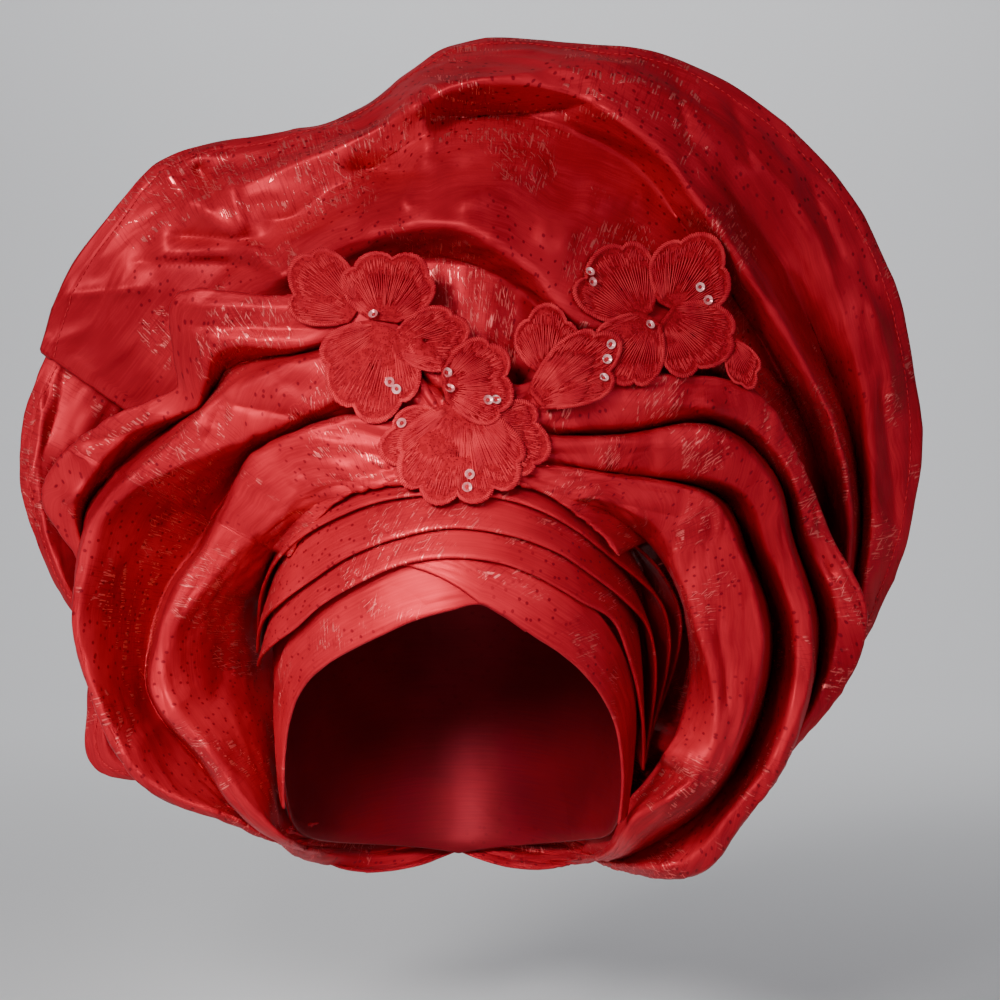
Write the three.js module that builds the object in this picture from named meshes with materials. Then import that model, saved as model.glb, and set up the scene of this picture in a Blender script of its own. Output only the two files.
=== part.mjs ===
// A tied gele: one long brocade cloth wound round the head, pleated over the brow, gathered at a knot
// and opened into two folded wings, a leaf and a tall fan, with lace appliques and sequins on the knot.
// Millimetres, Z up, X to the viewer's right, -Y toward the viewer. The origin is the middle of the head's
// hollow.
import * as THREE from "three";

const RAD = Math.PI / 180;

// The head's hollow, as half sizes of an egg: tall above the brow, long below it down to the jaw.
const HEAD = { width: 76, depth: 97, top: 112, down: 190 };
const CLOTH = 1.6;                         // brocade with its lining, one wall
const LACE = 1.2;
const LAYER = 2.2;                         // from one layer on the head to the next: the cloth and a gap

// Folds are measured as they show from the front, by an eye this far ahead of the origin and beside it.
// A reach is the distance from the origin in the upright plane through it; the depth then moves the point
// along the eye's sight line, so that it still shows at the same place.
const EYE = new THREE.Vector3(19, -900, 60);

// The face axis runs from the middle of the head down to the face: the brow's layers are rings about it.
const FACE_TILT = 24 * RAD;
const FACE = new THREE.Vector3(0, -Math.cos(FACE_TILT), -Math.sin(FACE_TILT));
const FACE_UP = new THREE.Vector3(0, -Math.sin(FACE_TILT), Math.cos(FACE_TILT));
const FACE_SIDE = new THREE.Vector3(1, 0, 0);

const EAR_DEPTH = 20;                      // cloth before this depth lies on the brow's layers
const JAW_HEIGHT = -50;                    // but hangs free below this height
const NAPE_DEPTH = 50;                     // past this depth it lies on the wrap at the nape
const NAPE_LAYERS = 3;

const MATERIALS = {
  brocade: new THREE.MeshStandardMaterial({ name: "brocade", color: "#a6262d", roughness: 0.5 }),
  lace: new THREE.MeshStandardMaterial({ name: "lace", color: "#b5282b", roughness: 0.8 }),
  sequin: new THREE.MeshStandardMaterial({ name: "sequin", color: "#e8a09c", roughness: 0.15 }),
};

// Smooth value at a place between stations, which run up or down. The curve passes through every value.
function curveAt(stations, values, place) {
  const way = Math.sign(stations[stations.length - 1] - stations[0]);
  const last = stations.length - 1;
  const slope = (i) => {
    const a = Math.max(i - 1, 0);
    const b = Math.min(i + 1, last);
    return (values[b] - values[a]) / ((stations[b] - stations[a]) * way);
  };
  let i = 0;
  while (i < last - 1 && (place - stations[i + 1]) * way > 0) i += 1;
  const span = (stations[i + 1] - stations[i]) * way;
  const t = THREE.MathUtils.clamp(((place - stations[i]) * way) / span, 0, 1);
  const startPull = slope(i) * span;
  const endPull = slope(i + 1) * span;
  const t2 = t * t;
  const t3 = t2 * t;
  return (2 * t3 - 3 * t2 + 1) * values[i] + (t3 - 2 * t2 + t) * startPull
    + (3 * t2 - 2 * t3) * values[i + 1] + (t3 - t2) * endPull;
}

// Places from the first station to the last, with the same number of steps between each two stations.
function placesAlong(stations, steps) {
  const places = [];
  for (let i = 0; i < stations.length - 1; i += 1) {
    const span = stations[i + 1] - stations[i];
    for (let s = 0; s < steps; s += 1) places.push(stations[i] + (span * s) / steps);
  }
  places.push(stations[stations.length - 1]);
  return places;
}

// How far forward the head, with layers this thick on it, comes at a place seen from the front.
function headFront(x, z, layers) {
  const c = z > 0 ? HEAD.top : HEAD.down;
  const spread = (x / (HEAD.width + layers)) ** 2 + (z / (c + layers)) ** 2;
  return spread < 1 ? -(HEAD.depth + layers) * Math.sqrt(1 - spread) : 0;
}

// A point seen at an angle and a reach, at its depth. Before the ears it stays in front of the layers on the
// head, and at the nape behind the crown's wrap.
function seenPoint(angle, reach, depth, layers) {
  const x0 = reach * Math.cos(angle * RAD);
  const z0 = reach * Math.sin(angle * RAD);
  const place = (y) => {
    const along = (y - EYE.y) / -EYE.y;
    return new THREE.Vector3(EYE.x + (x0 - EYE.x) * along, y, EYE.z + (z0 - EYE.z) * along);
  };
  const free = place(depth);
  if (depth < EAR_DEPTH && free.z > JAW_HEIGHT) {
    const front = headFront(free.x, free.z, layers);
    return front < 0 ? place(Math.min(depth, front)) : free;
  }
  if (depth > NAPE_DEPTH) return place(Math.max(depth, -headFront(free.x, free.z, NAPE_LAYERS)));
  return free;
}

// A point on the head: turn about the face axis, lean away from it, and height over the head.
function onHead(turn, lean, height) {
  const out = FACE.clone().multiplyScalar(Math.cos(lean * RAD));
  out.addScaledVector(FACE_SIDE, Math.sin(lean * RAD) * Math.cos(turn * RAD));
  out.addScaledVector(FACE_UP, Math.sin(lean * RAD) * Math.sin(turn * RAD));
  const c = out.z > 0 ? HEAD.top : HEAD.down;
  const size = Math.hypot(out.x / (HEAD.width + height), out.y / (HEAD.depth + height), out.z / (c + height));
  return out.divideScalar(size);
}

// A closed cloth wall from a grid of middle points, grid[column][row]. A cap joins its last column to its
// first and is closed over its first row.
function clothWall(grid, thickness, { cap = false } = {}) {
  const columns = grid.length;
  const rows = grid[0].length;
  const wrap = (c) => (cap ? (c + columns) % columns : THREE.MathUtils.clamp(c, 0, columns - 1));
  const points = [];
  const faces = [];
  for (const side of [0.5, -0.5]) {
    for (let c = 0; c < columns; c += 1) {
      for (let r = 0; r < rows; r += 1) {
        const along = grid[wrap(c + 1)][r].clone().sub(grid[wrap(c - 1)][r]);
        const across = grid[c][Math.min(r + 1, rows - 1)].clone().sub(grid[c][Math.max(r - 1, 0)]);
        const normal = along.cross(across).normalize();
        points.push(grid[c][r].clone().addScaledVector(normal, side * thickness));
      }
    }
  }
  const back = columns * rows;
  const index = (c, r, side) => (cap ? c % columns : c) * rows + r + side * back;
  const quad = (a, b, c, d) => faces.push(a, b, c, a, c, d);
  const spans = cap ? columns : columns - 1;
  for (let c = 0; c < spans; c += 1) {
    for (let r = 0; r < rows - 1; r += 1) {
      quad(index(c, r, 0), index(c + 1, r, 0), index(c + 1, r + 1, 0), index(c, r + 1, 0));
      quad(index(c, r, 1), index(c, r + 1, 1), index(c + 1, r + 1, 1), index(c + 1, r, 1));
    }
    if (!cap) quad(index(c, 0, 1), index(c + 1, 0, 1), index(c + 1, 0, 0), index(c, 0, 0));
    quad(index(c, rows - 1, 0), index(c + 1, rows - 1, 0), index(c + 1, rows - 1, 1), index(c, rows - 1, 1));
  }
  if (cap) {
    for (const side of [0, 1]) {
      const middle = new THREE.Vector3();
      for (let c = 0; c < columns; c += 1) middle.addScaledVector(points[index(c, 0, side)], 1 / columns);
      points.push(middle);
      const centre = points.length - 1;
      for (let c = 0; c < columns; c += 1) {
        const [a, b] = [index(c, 0, side), index(c + 1, 0, side)];
        faces.push(centre, ...(side === 0 ? [b, a] : [a, b]));
      }
    }
  } else {
    for (let r = 0; r < rows - 1; r += 1) {
      quad(index(0, r, 0), index(0, r + 1, 0), index(0, r + 1, 1), index(0, r, 1));
      const c = columns - 1;
      quad(index(c, r, 1), index(c, r + 1, 1), index(c, r + 1, 0), index(c, r, 0));
    }
  }
  const geometry = new THREE.BufferGeometry();
  geometry.setAttribute("position", new THREE.Float32BufferAttribute(points.flatMap((p) => p.toArray()), 3));
  geometry.setIndex(faces);
  return outward(geometry);
}

// Turns every face round if the closed wall came out inside out.
function outward(geometry) {
  const at = geometry.attributes.position;
  const index = geometry.index.array;
  let volume = 0;
  const [a, b, c] = [new THREE.Vector3(), new THREE.Vector3(), new THREE.Vector3()];
  for (let i = 0; i < index.length; i += 3) {
    a.fromBufferAttribute(at, index[i]);
    b.fromBufferAttribute(at, index[i + 1]);
    c.fromBufferAttribute(at, index[i + 2]);
    volume += a.dot(b.cross(c));
  }
  if (volume < 0) {
    for (let i = 0; i < index.length; i += 3) [index[i + 1], index[i + 2]] = [index[i + 2], index[i + 1]];
  }
  return geometry;
}

// A folded cloth: the folds run round the head at the stations' angles, and each row of its table is a ridge,
// a valley or an edge. A valley's reach lies between its neighbours' by its share.
function foldedGrid(cloth, steps) {
  const reachOf = (row, i) => {
    if (row.reach) return row.reach;
    const inner = cloth.rows[i - 1].reach;
    const outer = cloth.rows[i + 1].reach;
    return inner.map((near, s) => near + (outer[s] - near) * row.share);
  };
  const rows = cloth.rows.map((row, i) => ({ reach: reachOf(row, i), depth: row.depth }));
  return placesAlong(cloth.angle, steps.along).map((angle) => {
    const knots = rows.map((row) => {
      const reach = curveAt(cloth.angle, row.reach, angle);
      const depth = curveAt(cloth.depthAngle, row.depth, angle);
      return seenPoint(angle, reach, depth, curveAt(cloth.overAngle, cloth.over, angle));
    });
    const across = new THREE.CatmullRomCurve3(knots, false, "centripetal");
    const count = (knots.length - 1) * steps.across;
    return Array.from({ length: count + 1 }, (_, s) => across.getPoint(s / count));
  });
}

// The wing on the viewer's left: three deep folds from the knot, past the ear and back to the nape.
const LEFT_WING = {
  overAngle: [92, 140, 176, 188, 274],
  over: [10, 11, 12, 4, 4],
  angle: [92, 106, 119, 129, 134.5, 138, 148, 160, 168, 178, 190, 204, 218, 230, 241, 274],
  depthAngle: [92, 125, 160, 228, 241, 274],
  rows: [
    {
      fold: "tuck",
      reach: [72, 73, 76, 81, 83, 84, 86, 87, 87, 86, 82, 86, 98, 116, 110, 88],
      depth: [-83, -62, 8, 16, 62, 99],
    },
    {
      fold: "edge",
      reach: [70, 71, 75, 80, 83, 84, 87, 89, 90, 92, 93, 95, 101, 115, 110, 86],
      depth: [-88, -68, -12, -6, 62, 101],
    },
    {
      fold: "third in",
      reach: [74, 79, 83, 88, 90, 91, 95, 103, 110, 121, 126, 116, 113, 112, 106, 83],
      depth: [-89, -78, -54, -32, 62, 103],
    },
    {
      fold: "third out",
      reach: [84, 98, 107, 112, 115, 117, 113, 113, 120, 126, 131, 120, 118, 114, 104, 79],
      depth: [-88, -78, -55, -28, 66, 106],
    },
    { fold: "third valley", share: 0.1, depth: [-81, -46, 10, 12, 70, 103] },
    {
      fold: "second in",
      reach: [91, 111, 116, 119, 124, 127, 141, 160, 161, 162, 155, 146, 123, 114, 100, 73],
      depth: [-85, -68, -36, -6, 74, 106],
    },
    {
      fold: "second out",
      reach: [101, 128, 137, 142, 145, 146, 150, 163, 165, 164, 157, 149, 126, 114, 97, 69],
      depth: [-85, -67, -36, -2, 78, 108],
    },
    { fold: "second valley", share: 0.5, depth: [-79, -42, 7, 10, 77, 105] },
    {
      fold: "first in",
      reach: [107, 136, 144, 161, 154, 150, 166, 173, 163, 158, 150, 140, 119, 108, 92, 62],
      depth: [-83, -60, -14, 6, 81, 108],
    },
    {
      fold: "first out",
      reach: [117, 151, 169, 190, 172, 161, 177, 189, 166, 160, 152, 141, 120, 107, 88, 57],
      depth: [-81, -57, -12, 10, 84, 111],
    },
    {
      fold: "back edge",
      reach: [115, 149, 165, 185, 168, 157, 171, 182, 161, 154, 146, 136, 115, 103, 84, 50],
      depth: [-75, -46, 6, 16, 86, 111],
    },
  ],
};

// The wing on the viewer's right: three folds, the inner one broad with a shallow groove.
const RIGHT_WING = {
  overAngle: [88, 60, 42, 30, 20, 8, -26, -38, -92],
  over: [10, 11.5, 13, 16.5, 21, 24, 24, 6, 4],
  angle: [88, 76, 62, 50, 40, 28, 16, 2, -20, -32, -44, -54, -63, -92],
  depthAngle: [88, 55, 20, -48, -63, -92],
  rows: [
    {
      fold: "tuck",
      reach: [72, 73, 75, 79, 86, 93, 93, 88, 87, 93, 102, 112, 108, 88],
      depth: [-83, -62, 32, 32, 64, 91],
    },
    {
      fold: "turn",
      reach: [71, 72, 76, 80, 88, 96, 101, 104, 106, 104, 105, 113, 108, 87],
      depth: [-85, -64, 10, 14, 64, 92],
    },
    {
      fold: "edge",
      reach: [70, 71, 74, 79, 86, 93, 98, 101, 104, 103, 103, 111, 107, 86],
      depth: [-88, -68, -12, -6, 64, 93],
    },
    {
      fold: "fourth in",
      reach: [73, 74, 76, 82, 91, 101, 101, 105, 119, 118, 109, 113, 106, 84],
      depth: [-89, -79, -54, -32, 62, 95],
    },
    {
      fold: "fourth groove",
      reach: [77, 79, 82, 89, 101, 120, 122, 124, 126, 123, 114, 114, 105, 81],
      depth: [-88, -76, -51, -28, 65, 96],
    },
    {
      fold: "fourth out",
      reach: [79, 81, 85, 93, 106, 126, 128, 132, 129, 126, 117, 115, 104, 79],
      depth: [-87, -75, -50, -24, 68, 98],
    },
    { fold: "fourth valley", share: 0.3, depth: [-81, -48, 8, 10, 70, 95] },
    {
      fold: "third in",
      reach: [83, 84, 89, 97, 111, 138, 140, 147, 146, 140, 137, 119, 101, 73],
      depth: [-85, -70, -36, -12, 74, 98],
    },
    {
      fold: "third out",
      reach: [89, 92, 98, 113, 141, 152, 149, 153, 151, 146, 144, 122, 98, 69],
      depth: [-85, -69, -36, -8, 78, 100],
    },
    { fold: "third valley", share: 0.3, depth: [-79, -44, 10, 12, 77, 97] },
    {
      fold: "second in",
      reach: [94, 97, 104, 121, 151, 161, 158, 165, 149, 141, 138, 117, 93, 62],
      depth: [-83, -62, -18, 4, 81, 100],
    },
    {
      fold: "second out",
      reach: [105, 113, 125, 148, 167, 167, 167, 177, 150, 142, 139, 116, 90, 57],
      depth: [-81, -59, -14, 8, 84, 103],
    },
    {
      fold: "back edge",
      reach: [103, 110, 121, 144, 162, 162, 162, 172, 145, 138, 134, 110, 85, 50],
      depth: [-75, -46, 4, 14, 86, 103],
    },
  ],
};

// The fan behind and above both wings, from its free end on the left over the top and down the right side.
const FAN = {
  overAngle: [145, -32],
  over: [4.5, 4.5],
  angle: [145, 137, 130, 120, 110, 100, 90, 80, 70, 60, 50, 40, 30, 20, 0, -14, -32],
  depthAngle: [145, 118, 90, 66, 48, 20, -32],
  rows: [
    {
      fold: "base",
      reach: [88, 89, 90, 92, 95, 98, 100, 99, 97, 95, 93, 91, 90, 86, 81, 82, 84],
      depth: [14, -26, -62, -46, -20, 40, 52],
    },
    {
      fold: "first valley",
      reach: [142, 146, 150, 155, 158, 163, 164, 154, 140, 142, 150, 156, 155, 151, 144, 129, 108],
      depth: [14, -23, -46, -42, -22, 42, 54],
    },
    {
      fold: "first ridge",
      reach: [155, 159, 166, 171, 175, 178, 178, 165, 148, 151, 160, 166, 166, 161, 151, 136, 113],
      depth: [13, -30, -72, -62, -40, 24, 50],
    },
    {
      fold: "second valley",
      reach: [168, 174, 183, 189, 196, 206, 222, 226, 219, 202, 189, 181, 176, 170, 156, 139, 115],
      depth: [13, -19, -36, -24, -8, 42, 54],
    },
    {
      fold: "second ridge",
      reach: [189, 198, 209, 215, 215, 220, 237, 241, 232, 214, 200, 192, 187, 180, 161, 144, 120],
      depth: [12, -18, -46, -50, -36, 6, 50],
    },
    {
      fold: "third valley",
      reach: [202, 209, 220, 226, 220, 224, 244, 249, 243, 228, 215, 202, 194, 186, 164, 147, 122],
      depth: [11, -11, -34, -44, -8, 40, 56],
    },
    {
      fold: "third ridge",
      reach: [215, 218, 227, 234, 225, 228, 249, 255, 255, 246, 236, 218, 204, 191, 169, 151, 125],
      depth: [10, -9, -26, -38, -16, 14, 54],
    },
    {
      fold: "rim",
      reach: [217, 228, 234, 241, 230, 231, 255, 260, 266, 264, 257, 244, 228, 212, 175, 154, 127],
      depth: [10, -3, -14, -22, 0, 28, 58],
    },
  ],
};

// The leaf behind the left wing, with the lobe that hangs below it.
const LEAF = {
  overAngle: [118, 229],
  over: [4.5, 4.5],
  angle: [118, 130, 140, 150, 160, 170, 180, 190, 200, 208, 218, 229],
  depthAngle: [118, 150, 175, 205, 229],
  rows: [
    {
      fold: "base",
      reach: [112, 102, 94, 90, 90, 90, 90, 91, 92, 94, 98, 105],
      depth: [22.6, 26.6, 26.6, 32.6, 42.6],
    },
    {
      fold: "valley",
      reach: [119, 146, 165, 168, 163, 151, 138, 138, 136, 120, 106, 107],
      depth: [27.6, 32.6, 30.6, 36.6, 45.6],
    },
    {
      fold: "lap",
      reach: [123, 158, 177, 182, 180, 163, 149, 149, 146, 123, 109, 109],
      depth: [25.6, 24.6, 18.6, 27.6, 44.6],
    },
    {
      fold: "ridge",
      reach: [128, 174, 205, 202, 190, 173, 153, 154, 155, 126, 112, 111],
      depth: [24.6, 20.6, 10.6, 23.6, 45.6],
    },
    {
      fold: "rim",
      reach: [132, 184, 212, 210, 198, 177, 157, 160, 163, 128, 115, 113],
      depth: [27.6, 24.6, 16.6, 27.6, 48.6],
    },
  ],
};

function foldedCloth(cloth, steps) {
  return clothWall(foldedGrid(cloth, steps), CLOTH);
}

// The brow's layers: each is a strip between a lower edge, which shows, and an upper one tucked under the
// next.
const BROW_TURN = [
  -36, -28, -20, -5, 10, 25, 40, 55, 70, 79, 90, 105, 120, 135, 150, 165, 180, 195, 207, 216,
];
const OPENING = [
  51.5, 51, 49.5, 46, 41.5, 38, 35.5, 34.3, 35.5, 36.5, 34.5, 33.2, 32.8, 34.3, 37.5, 42, 46.5, 51, 55, 59,
];
const PLEAT_TURN = [-28, -14, 0, 15, 30, 45, 60, 75, 90, 105, 120, 135, 150, 165, 180];
const PLEATS = [
  { pleat: 1, loose: 0, lean: [68, 62, 58, 55, 53.5, 48, 46, 45.5, 45.2, 45, 45, 47, 50.5, 60, 74] },
  { pleat: 2, loose: 3, lean: [72, 72, 72, 69, 61.5, 56, 53.5, 52, 51.5, 51, 52, 54.5, 61, 72, 82] },
  { pleat: 3, loose: 8, lean: [76, 79, 82, 80, 71.5, 64.5, 61.5, 60, 58.8, 60.2, 63, 68.5, 76, 83, 89] },
  { pleat: 4, loose: 13, lean: [80, 85, 89, 88, 83, 74, 67, 64.8, 64, 65, 69, 75.5, 84, 91, 96] },
];
const TUCK = 4;                            // how far, in degrees of lean, a pleat goes on under the next
const BAND_TUCK = 1.2;                     // and the brow bands under the first pleat
const PLEAT_LOW = 3.3 * LAYER;             // height of a pleat's lower edge over the head
const PLEAT_HIGH = 1.2 * LAYER;            // and of its tucked upper edge
const LOOSE_TURN = { from: 42, most: 4, end: -34 };  // the pleats stand off the head by the right ear

function browStrip(turns, lowAt, highAt, heightAt, steps) {
  const grid = turns.map((turn) => Array.from({ length: steps + 1 }, (_, s) => {
    const part = s / steps;
    const lean = THREE.MathUtils.lerp(lowAt(turn), highAt(turn), part);
    return onHead(turn, lean, heightAt(part, turn) + CLOTH / 2);
  }));
  return clothWall(grid, CLOTH);
}

function browPleat(k) {
  const lowAt = (turn) => curveAt(PLEAT_TURN, PLEATS[k].lean, turn);
  const next = PLEATS[k + 1];
  const highAt = (turn) => TUCK + (next ? curveAt(PLEAT_TURN, next.lean, turn) : lowAt(turn) + TUCK);
  const heightAt = (part, turn) => {
    const off = THREE.MathUtils.smoothstep(turn, LOOSE_TURN.end, LOOSE_TURN.most)
      * (1 - THREE.MathUtils.smoothstep(turn, LOOSE_TURN.most, LOOSE_TURN.from));
    const looseHigh = k > 0 ? PLEATS[k - 1].loose : 0;
    return THREE.MathUtils.lerp(PLEAT_LOW + off * PLEATS[k].loose, PLEAT_HIGH + off * looseHigh, part);
  };
  return browStrip(placesAlong(PLEAT_TURN, 2), lowAt, highAt, heightAt, 1);
}

const APEX_TURN = 79;                      // where the two brow bands cross over the brow
const UNDER_BAND_END = 58;                 // the under band goes on as far as this beneath the over one
const BAND_BREADTH = 15;                   // most breadth of a brow band, in degrees of lean
const CHEEK_BREADTH = 6;                   // and its breadth at its end by the cheek
const FREE_EDGE_CLIMB = 0.36;              // how fast the over band's free edge climbs past the apex
const openingAt = (turn) => curveAt(BROW_TURN, OPENING, turn);

// Upper edge of both brow bands: just under the first pleat, and near the cheek a band's breadth.
function browBandHigh(turn) {
  const within = THREE.MathUtils.clamp(turn, PLEAT_TURN[0], PLEAT_TURN[PLEAT_TURN.length - 1]);
  const underPleat = curveAt(PLEAT_TURN, PLEATS[0].lean, within) + BAND_TUCK;
  const [right, left] = [BROW_TURN[0], BROW_TURN[BROW_TURN.length - 1]];
  const fromEnd = Math.min(turn - right, left - turn);
  const full = THREE.MathUtils.smoothstep(fromEnd, 0, 40);
  const breadth = THREE.MathUtils.lerp(CHEEK_BREADTH, BAND_BREADTH, full);
  return Math.min(underPleat, openingAt(turn) + breadth);
}

function browBandUnder() {
  const turns = placesAlong([UNDER_BAND_END, ...BROW_TURN.filter((turn) => turn > UNDER_BAND_END)], 2);
  return browStrip(turns, openingAt, browBandHigh, () => LAYER, 2);
}

function browBandOver() {
  const tip = [86, 93, 99, 104];
  const turns = placesAlong([...BROW_TURN.filter((turn) => turn <= APEX_TURN), ...tip], 2);
  const tipBreadth = 0.8;
  const lowAt = (turn) => (turn <= APEX_TURN
    ? openingAt(turn)
    : Math.min(openingAt(APEX_TURN) + (turn - APEX_TURN) * FREE_EDGE_CLIMB, browBandHigh(turn) - tipBreadth));
  return browStrip(turns, lowAt, browBandHigh, () => 2 * LAYER, 2);
}

// The wrap over the crown: a cap from its top to a rim that clears the face and covers the nape.
const RIM = { azimuth: [0, 20, 40, 60, 75, 90, 120, 180], height: [32, 22, 8, -14, -48, -74, -81, -98] };

function crownWrap() {
  const columns = 26;
  const rows = 7;
  const topHole = 6;                       // degrees from the pole to the first row; a lid closes the rest
  const grid = Array.from({ length: columns }, (_, c) => {
    const azimuth = (360 * c) / columns;
    const rim = curveAt(RIM.azimuth, RIM.height, azimuth <= 180 ? azimuth : 360 - azimuth);
    const lowest = rim > 0 ? Math.acos(rim / HEAD.top) : Math.PI / 2 + Math.asin(-rim / HEAD.down);
    return Array.from({ length: rows }, (_, r) => {
      const polar = THREE.MathUtils.lerp(topHole * RAD, lowest, r / (rows - 1));
      const reach = Math.sin(polar);
      const height = Math.cos(polar) * (polar < Math.PI / 2 ? HEAD.top : HEAD.down);
      const across = reach * HEAD.width * Math.sin(azimuth * RAD);
      const deep = -reach * HEAD.depth * Math.cos(azimuth * RAD);
      const out = new THREE.Vector3(across, deep, height);
      return out.multiplyScalar(1 + CLOTH / 2 / out.length());
    });
  });
  return clothWall(grid, CLOTH, { cap: true });
}

// Lace appliques: each is a flower of petals, cut out round its own middle, seen from the front and draped
// over the knot. A petal spreads from its root like a fan: its way and spread are angles, its root and length
// are millimetres. A piece further down this list lies on those above it.
const APPLIQUES = [
  {
    name: "lace_left",
    middle: [-34, 134],
    petals: [
      { root: [-42, 136], way: 140, long: 37, spread: 96 },
      { root: [-28, 133], way: 95, long: 33, spread: 142 },
      { root: [-24, 138], way: 242, long: 45, spread: 104 },
      { root: [-27, 127], way: 22, long: 33, spread: 86 },
    ],
  },
  {
    name: "lace_right",
    middle: [88, 141],
    petals: [
      { root: [83, 134], way: 124, long: 40, spread: 96 },
      { root: [91, 139], way: 62, long: 36, spread: 110 },
      { root: [88, 142], way: 322, long: 34, spread: 104 },
      { root: [87, 142], way: 236, long: 35, spread: 92 },
      { root: [117, 132], way: 296, long: 24, spread: 60 },
    ],
  },
  {
    name: "lace_knot",
    middle: [4, 84],
    petals: [
      { root: [6, 92], way: 196, long: 37, spread: 84 },
      { root: [2, 92], way: -14, long: 40, spread: 84 },
      { root: [4, 104], way: 268, long: 48, spread: 128 },
    ],
  },
  {
    name: "lace_fold",
    middle: [43, 116],
    petals: [
      { root: [39, 112], way: 92, long: 31, spread: 104 },
      { root: [28, 99], way: 35, long: 48, spread: 66 },
    ],
  },
  {
    name: "lace_middle",
    middle: [11, 110],
    petals: [{ root: [-8, 108], way: 8, long: 35, spread: 120 }],
  },
];
// Depth of the drape by the distance from the knot, toward the left of it and toward the right.
const KNOT = { across: 4, up: 82 };
const LACE_DRAPE = {
  away: [0, 30, 60, 85, 105, 130],
  left: [-92, -87, -81, -74, -63, -50],
  right: [-92, -84, -72, -63, -58, -50],
};
const LACE_GAP = 0.4;                      // from a lace piece to what it lies on

function laceDepth(x, z, lift) {
  const away = Math.hypot(x - KNOT.across, z - KNOT.up);
  const last = LACE_DRAPE.away[LACE_DRAPE.away.length - 1];
  const at = (depths) => curveAt(LACE_DRAPE.away, depths, Math.min(away, last));
  const right = away > 0 ? 0.5 + (x - KNOT.across) / away / 2 : 0.5;
  return THREE.MathUtils.lerp(at(LACE_DRAPE.left), at(LACE_DRAPE.right), right) - lift;
}

// A point of the drape, seen from the front at x and z of the upright plane through the origin.
function laceDrape(x, z, lift) {
  const y = laceDepth(x, z, lift);
  const along = (y - EYE.y) / -EYE.y;
  return new THREE.Vector3(EYE.x + (x - EYE.x) * along, y, EYE.z + (z - EYE.z) * along);
}

const PETAL_ROUND = 0.34;                  // the less, the fuller a petal's corners

// Points along a petal's edge, from its root round its tip and back.
function petalEdge({ root, way, long, spread }) {
  const count = 30;
  return Array.from({ length: count }, (_, k) => {
    const part = k / count - 0.5;
    const turn = (way + spread * part) * RAD;
    const reach = long * Math.cos(Math.PI * part) ** PETAL_ROUND;
    return new THREE.Vector2(root[0] + reach * Math.cos(turn), root[1] + reach * Math.sin(turn));
  });
}

// Reach of an applique from its middle at an angle: the furthest petal edge that lies that way.
function appliqueRim(applique, angle) {
  const way = new THREE.Vector2(Math.cos(angle), Math.sin(angle));
  const middle = new THREE.Vector2(...applique.middle);
  const beam = 3;                          // an edge point this near to the line counts
  const least = 4;
  return applique.petals.flatMap(petalEdge).reduce((reach, point) => {
    const to = point.sub(middle);
    return Math.abs(to.cross(way)) < beam ? Math.max(reach, to.dot(way)) : reach;
  }, least);
}

function lacePiece(applique, lift) {
  const spokes = 22;
  const rings = 2;
  const hub = 0.08;
  const [across, up] = applique.middle;
  const grid = Array.from({ length: spokes }, (_, s) => {
    const angle = (2 * Math.PI * s) / spokes;
    const rim = appliqueRim(applique, angle);
    return Array.from({ length: rings + 1 }, (_, r) => {
      const reach = rim * THREE.MathUtils.lerp(hub, 1, r / rings);
      return laceDrape(across + reach * Math.cos(angle), up + reach * Math.sin(angle), lift);
    });
  });
  return clothWall(grid, LACE, { cap: true });
}

// How far a lace piece has to come forward of the drape, so that it just clears all that lies under it.
// Sight lines through its faces' corners, edges and middles find the cloth behind.
function laceLift(applique, under) {
  const geometry = lacePiece(applique, 0);
  const at = geometry.attributes.position;
  const index = geometry.index.array;
  const sight = new THREE.Raycaster();
  let lift = -Infinity;
  const [a, b, c, place] = [0, 0, 0, 0].map(() => new THREE.Vector3());
  const shares = [[1, 0, 0], [0.5, 0.5, 0], [0, 0.5, 0.5], [0.5, 0, 0.5], [1 / 3, 1 / 3, 1 / 3]];
  for (let i = 0; i < index.length; i += 3) {
    a.fromBufferAttribute(at, index[i]);
    b.fromBufferAttribute(at, index[i + 1]);
    c.fromBufferAttribute(at, index[i + 2]);
    for (const [p, q, r] of shares) {
      place.set(0, 0, 0).addScaledVector(a, p).addScaledVector(b, q).addScaledVector(c, r);
      sight.set(EYE, place.clone().sub(EYE).normalize());
      const [hit] = sight.intersectObjects(under, false);
      if (hit) lift = Math.max(lift, place.y - hit.point.y + LACE_GAP);
    }
  }
  return lift;
}

// Sequins: flat round discs that lie on the lace, each on the applique that it names.
const SEQUIN = { radius: 2.1, thickness: 0.8, gap: 0.7, sides: 8 };
const SEQUINS = [
  { on: "lace_left", places: [[-35, 140], [-28, 112], [-25, 107]] },
  { on: "lace_middle", places: [[1, 113], [0, 107], [13, 103], [18, 104]] },
  { on: "lace_knot", places: [[-23, 93], [7, 72], [5, 66]] },
  { on: "lace_fold", places: [[61, 125], [61, 118], [56, 110]] },
  { on: "lace_right", places: [[61, 158], [62, 153], [105, 152], [108, 146], [84, 137]] },
];

function sequinOn(lift, [across, up]) {
  const middle = laceDrape(across, up, lift);
  const side = laceDrape(across + 1, up, lift).sub(middle);
  const rise = laceDrape(across, up + 1, lift).sub(middle);
  const out = side.cross(rise).normalize();
  const disc = new THREE.CylinderGeometry(SEQUIN.radius, SEQUIN.radius, SEQUIN.thickness, SEQUIN.sides);
  disc.applyQuaternion(new THREE.Quaternion().setFromUnitVectors(new THREE.Vector3(0, 1, 0), out));
  const place = middle.addScaledVector(out, LACE / 2 + SEQUIN.gap + SEQUIN.thickness / 2);
  disc.translate(place.x, place.y, place.z);
  return disc;
}

function mesh(name, geometry, material) {
  geometry.computeVertexNormals();
  const made = new THREE.Mesh(geometry, MATERIALS[material]);
  made.name = name;
  return made;
}

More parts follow.
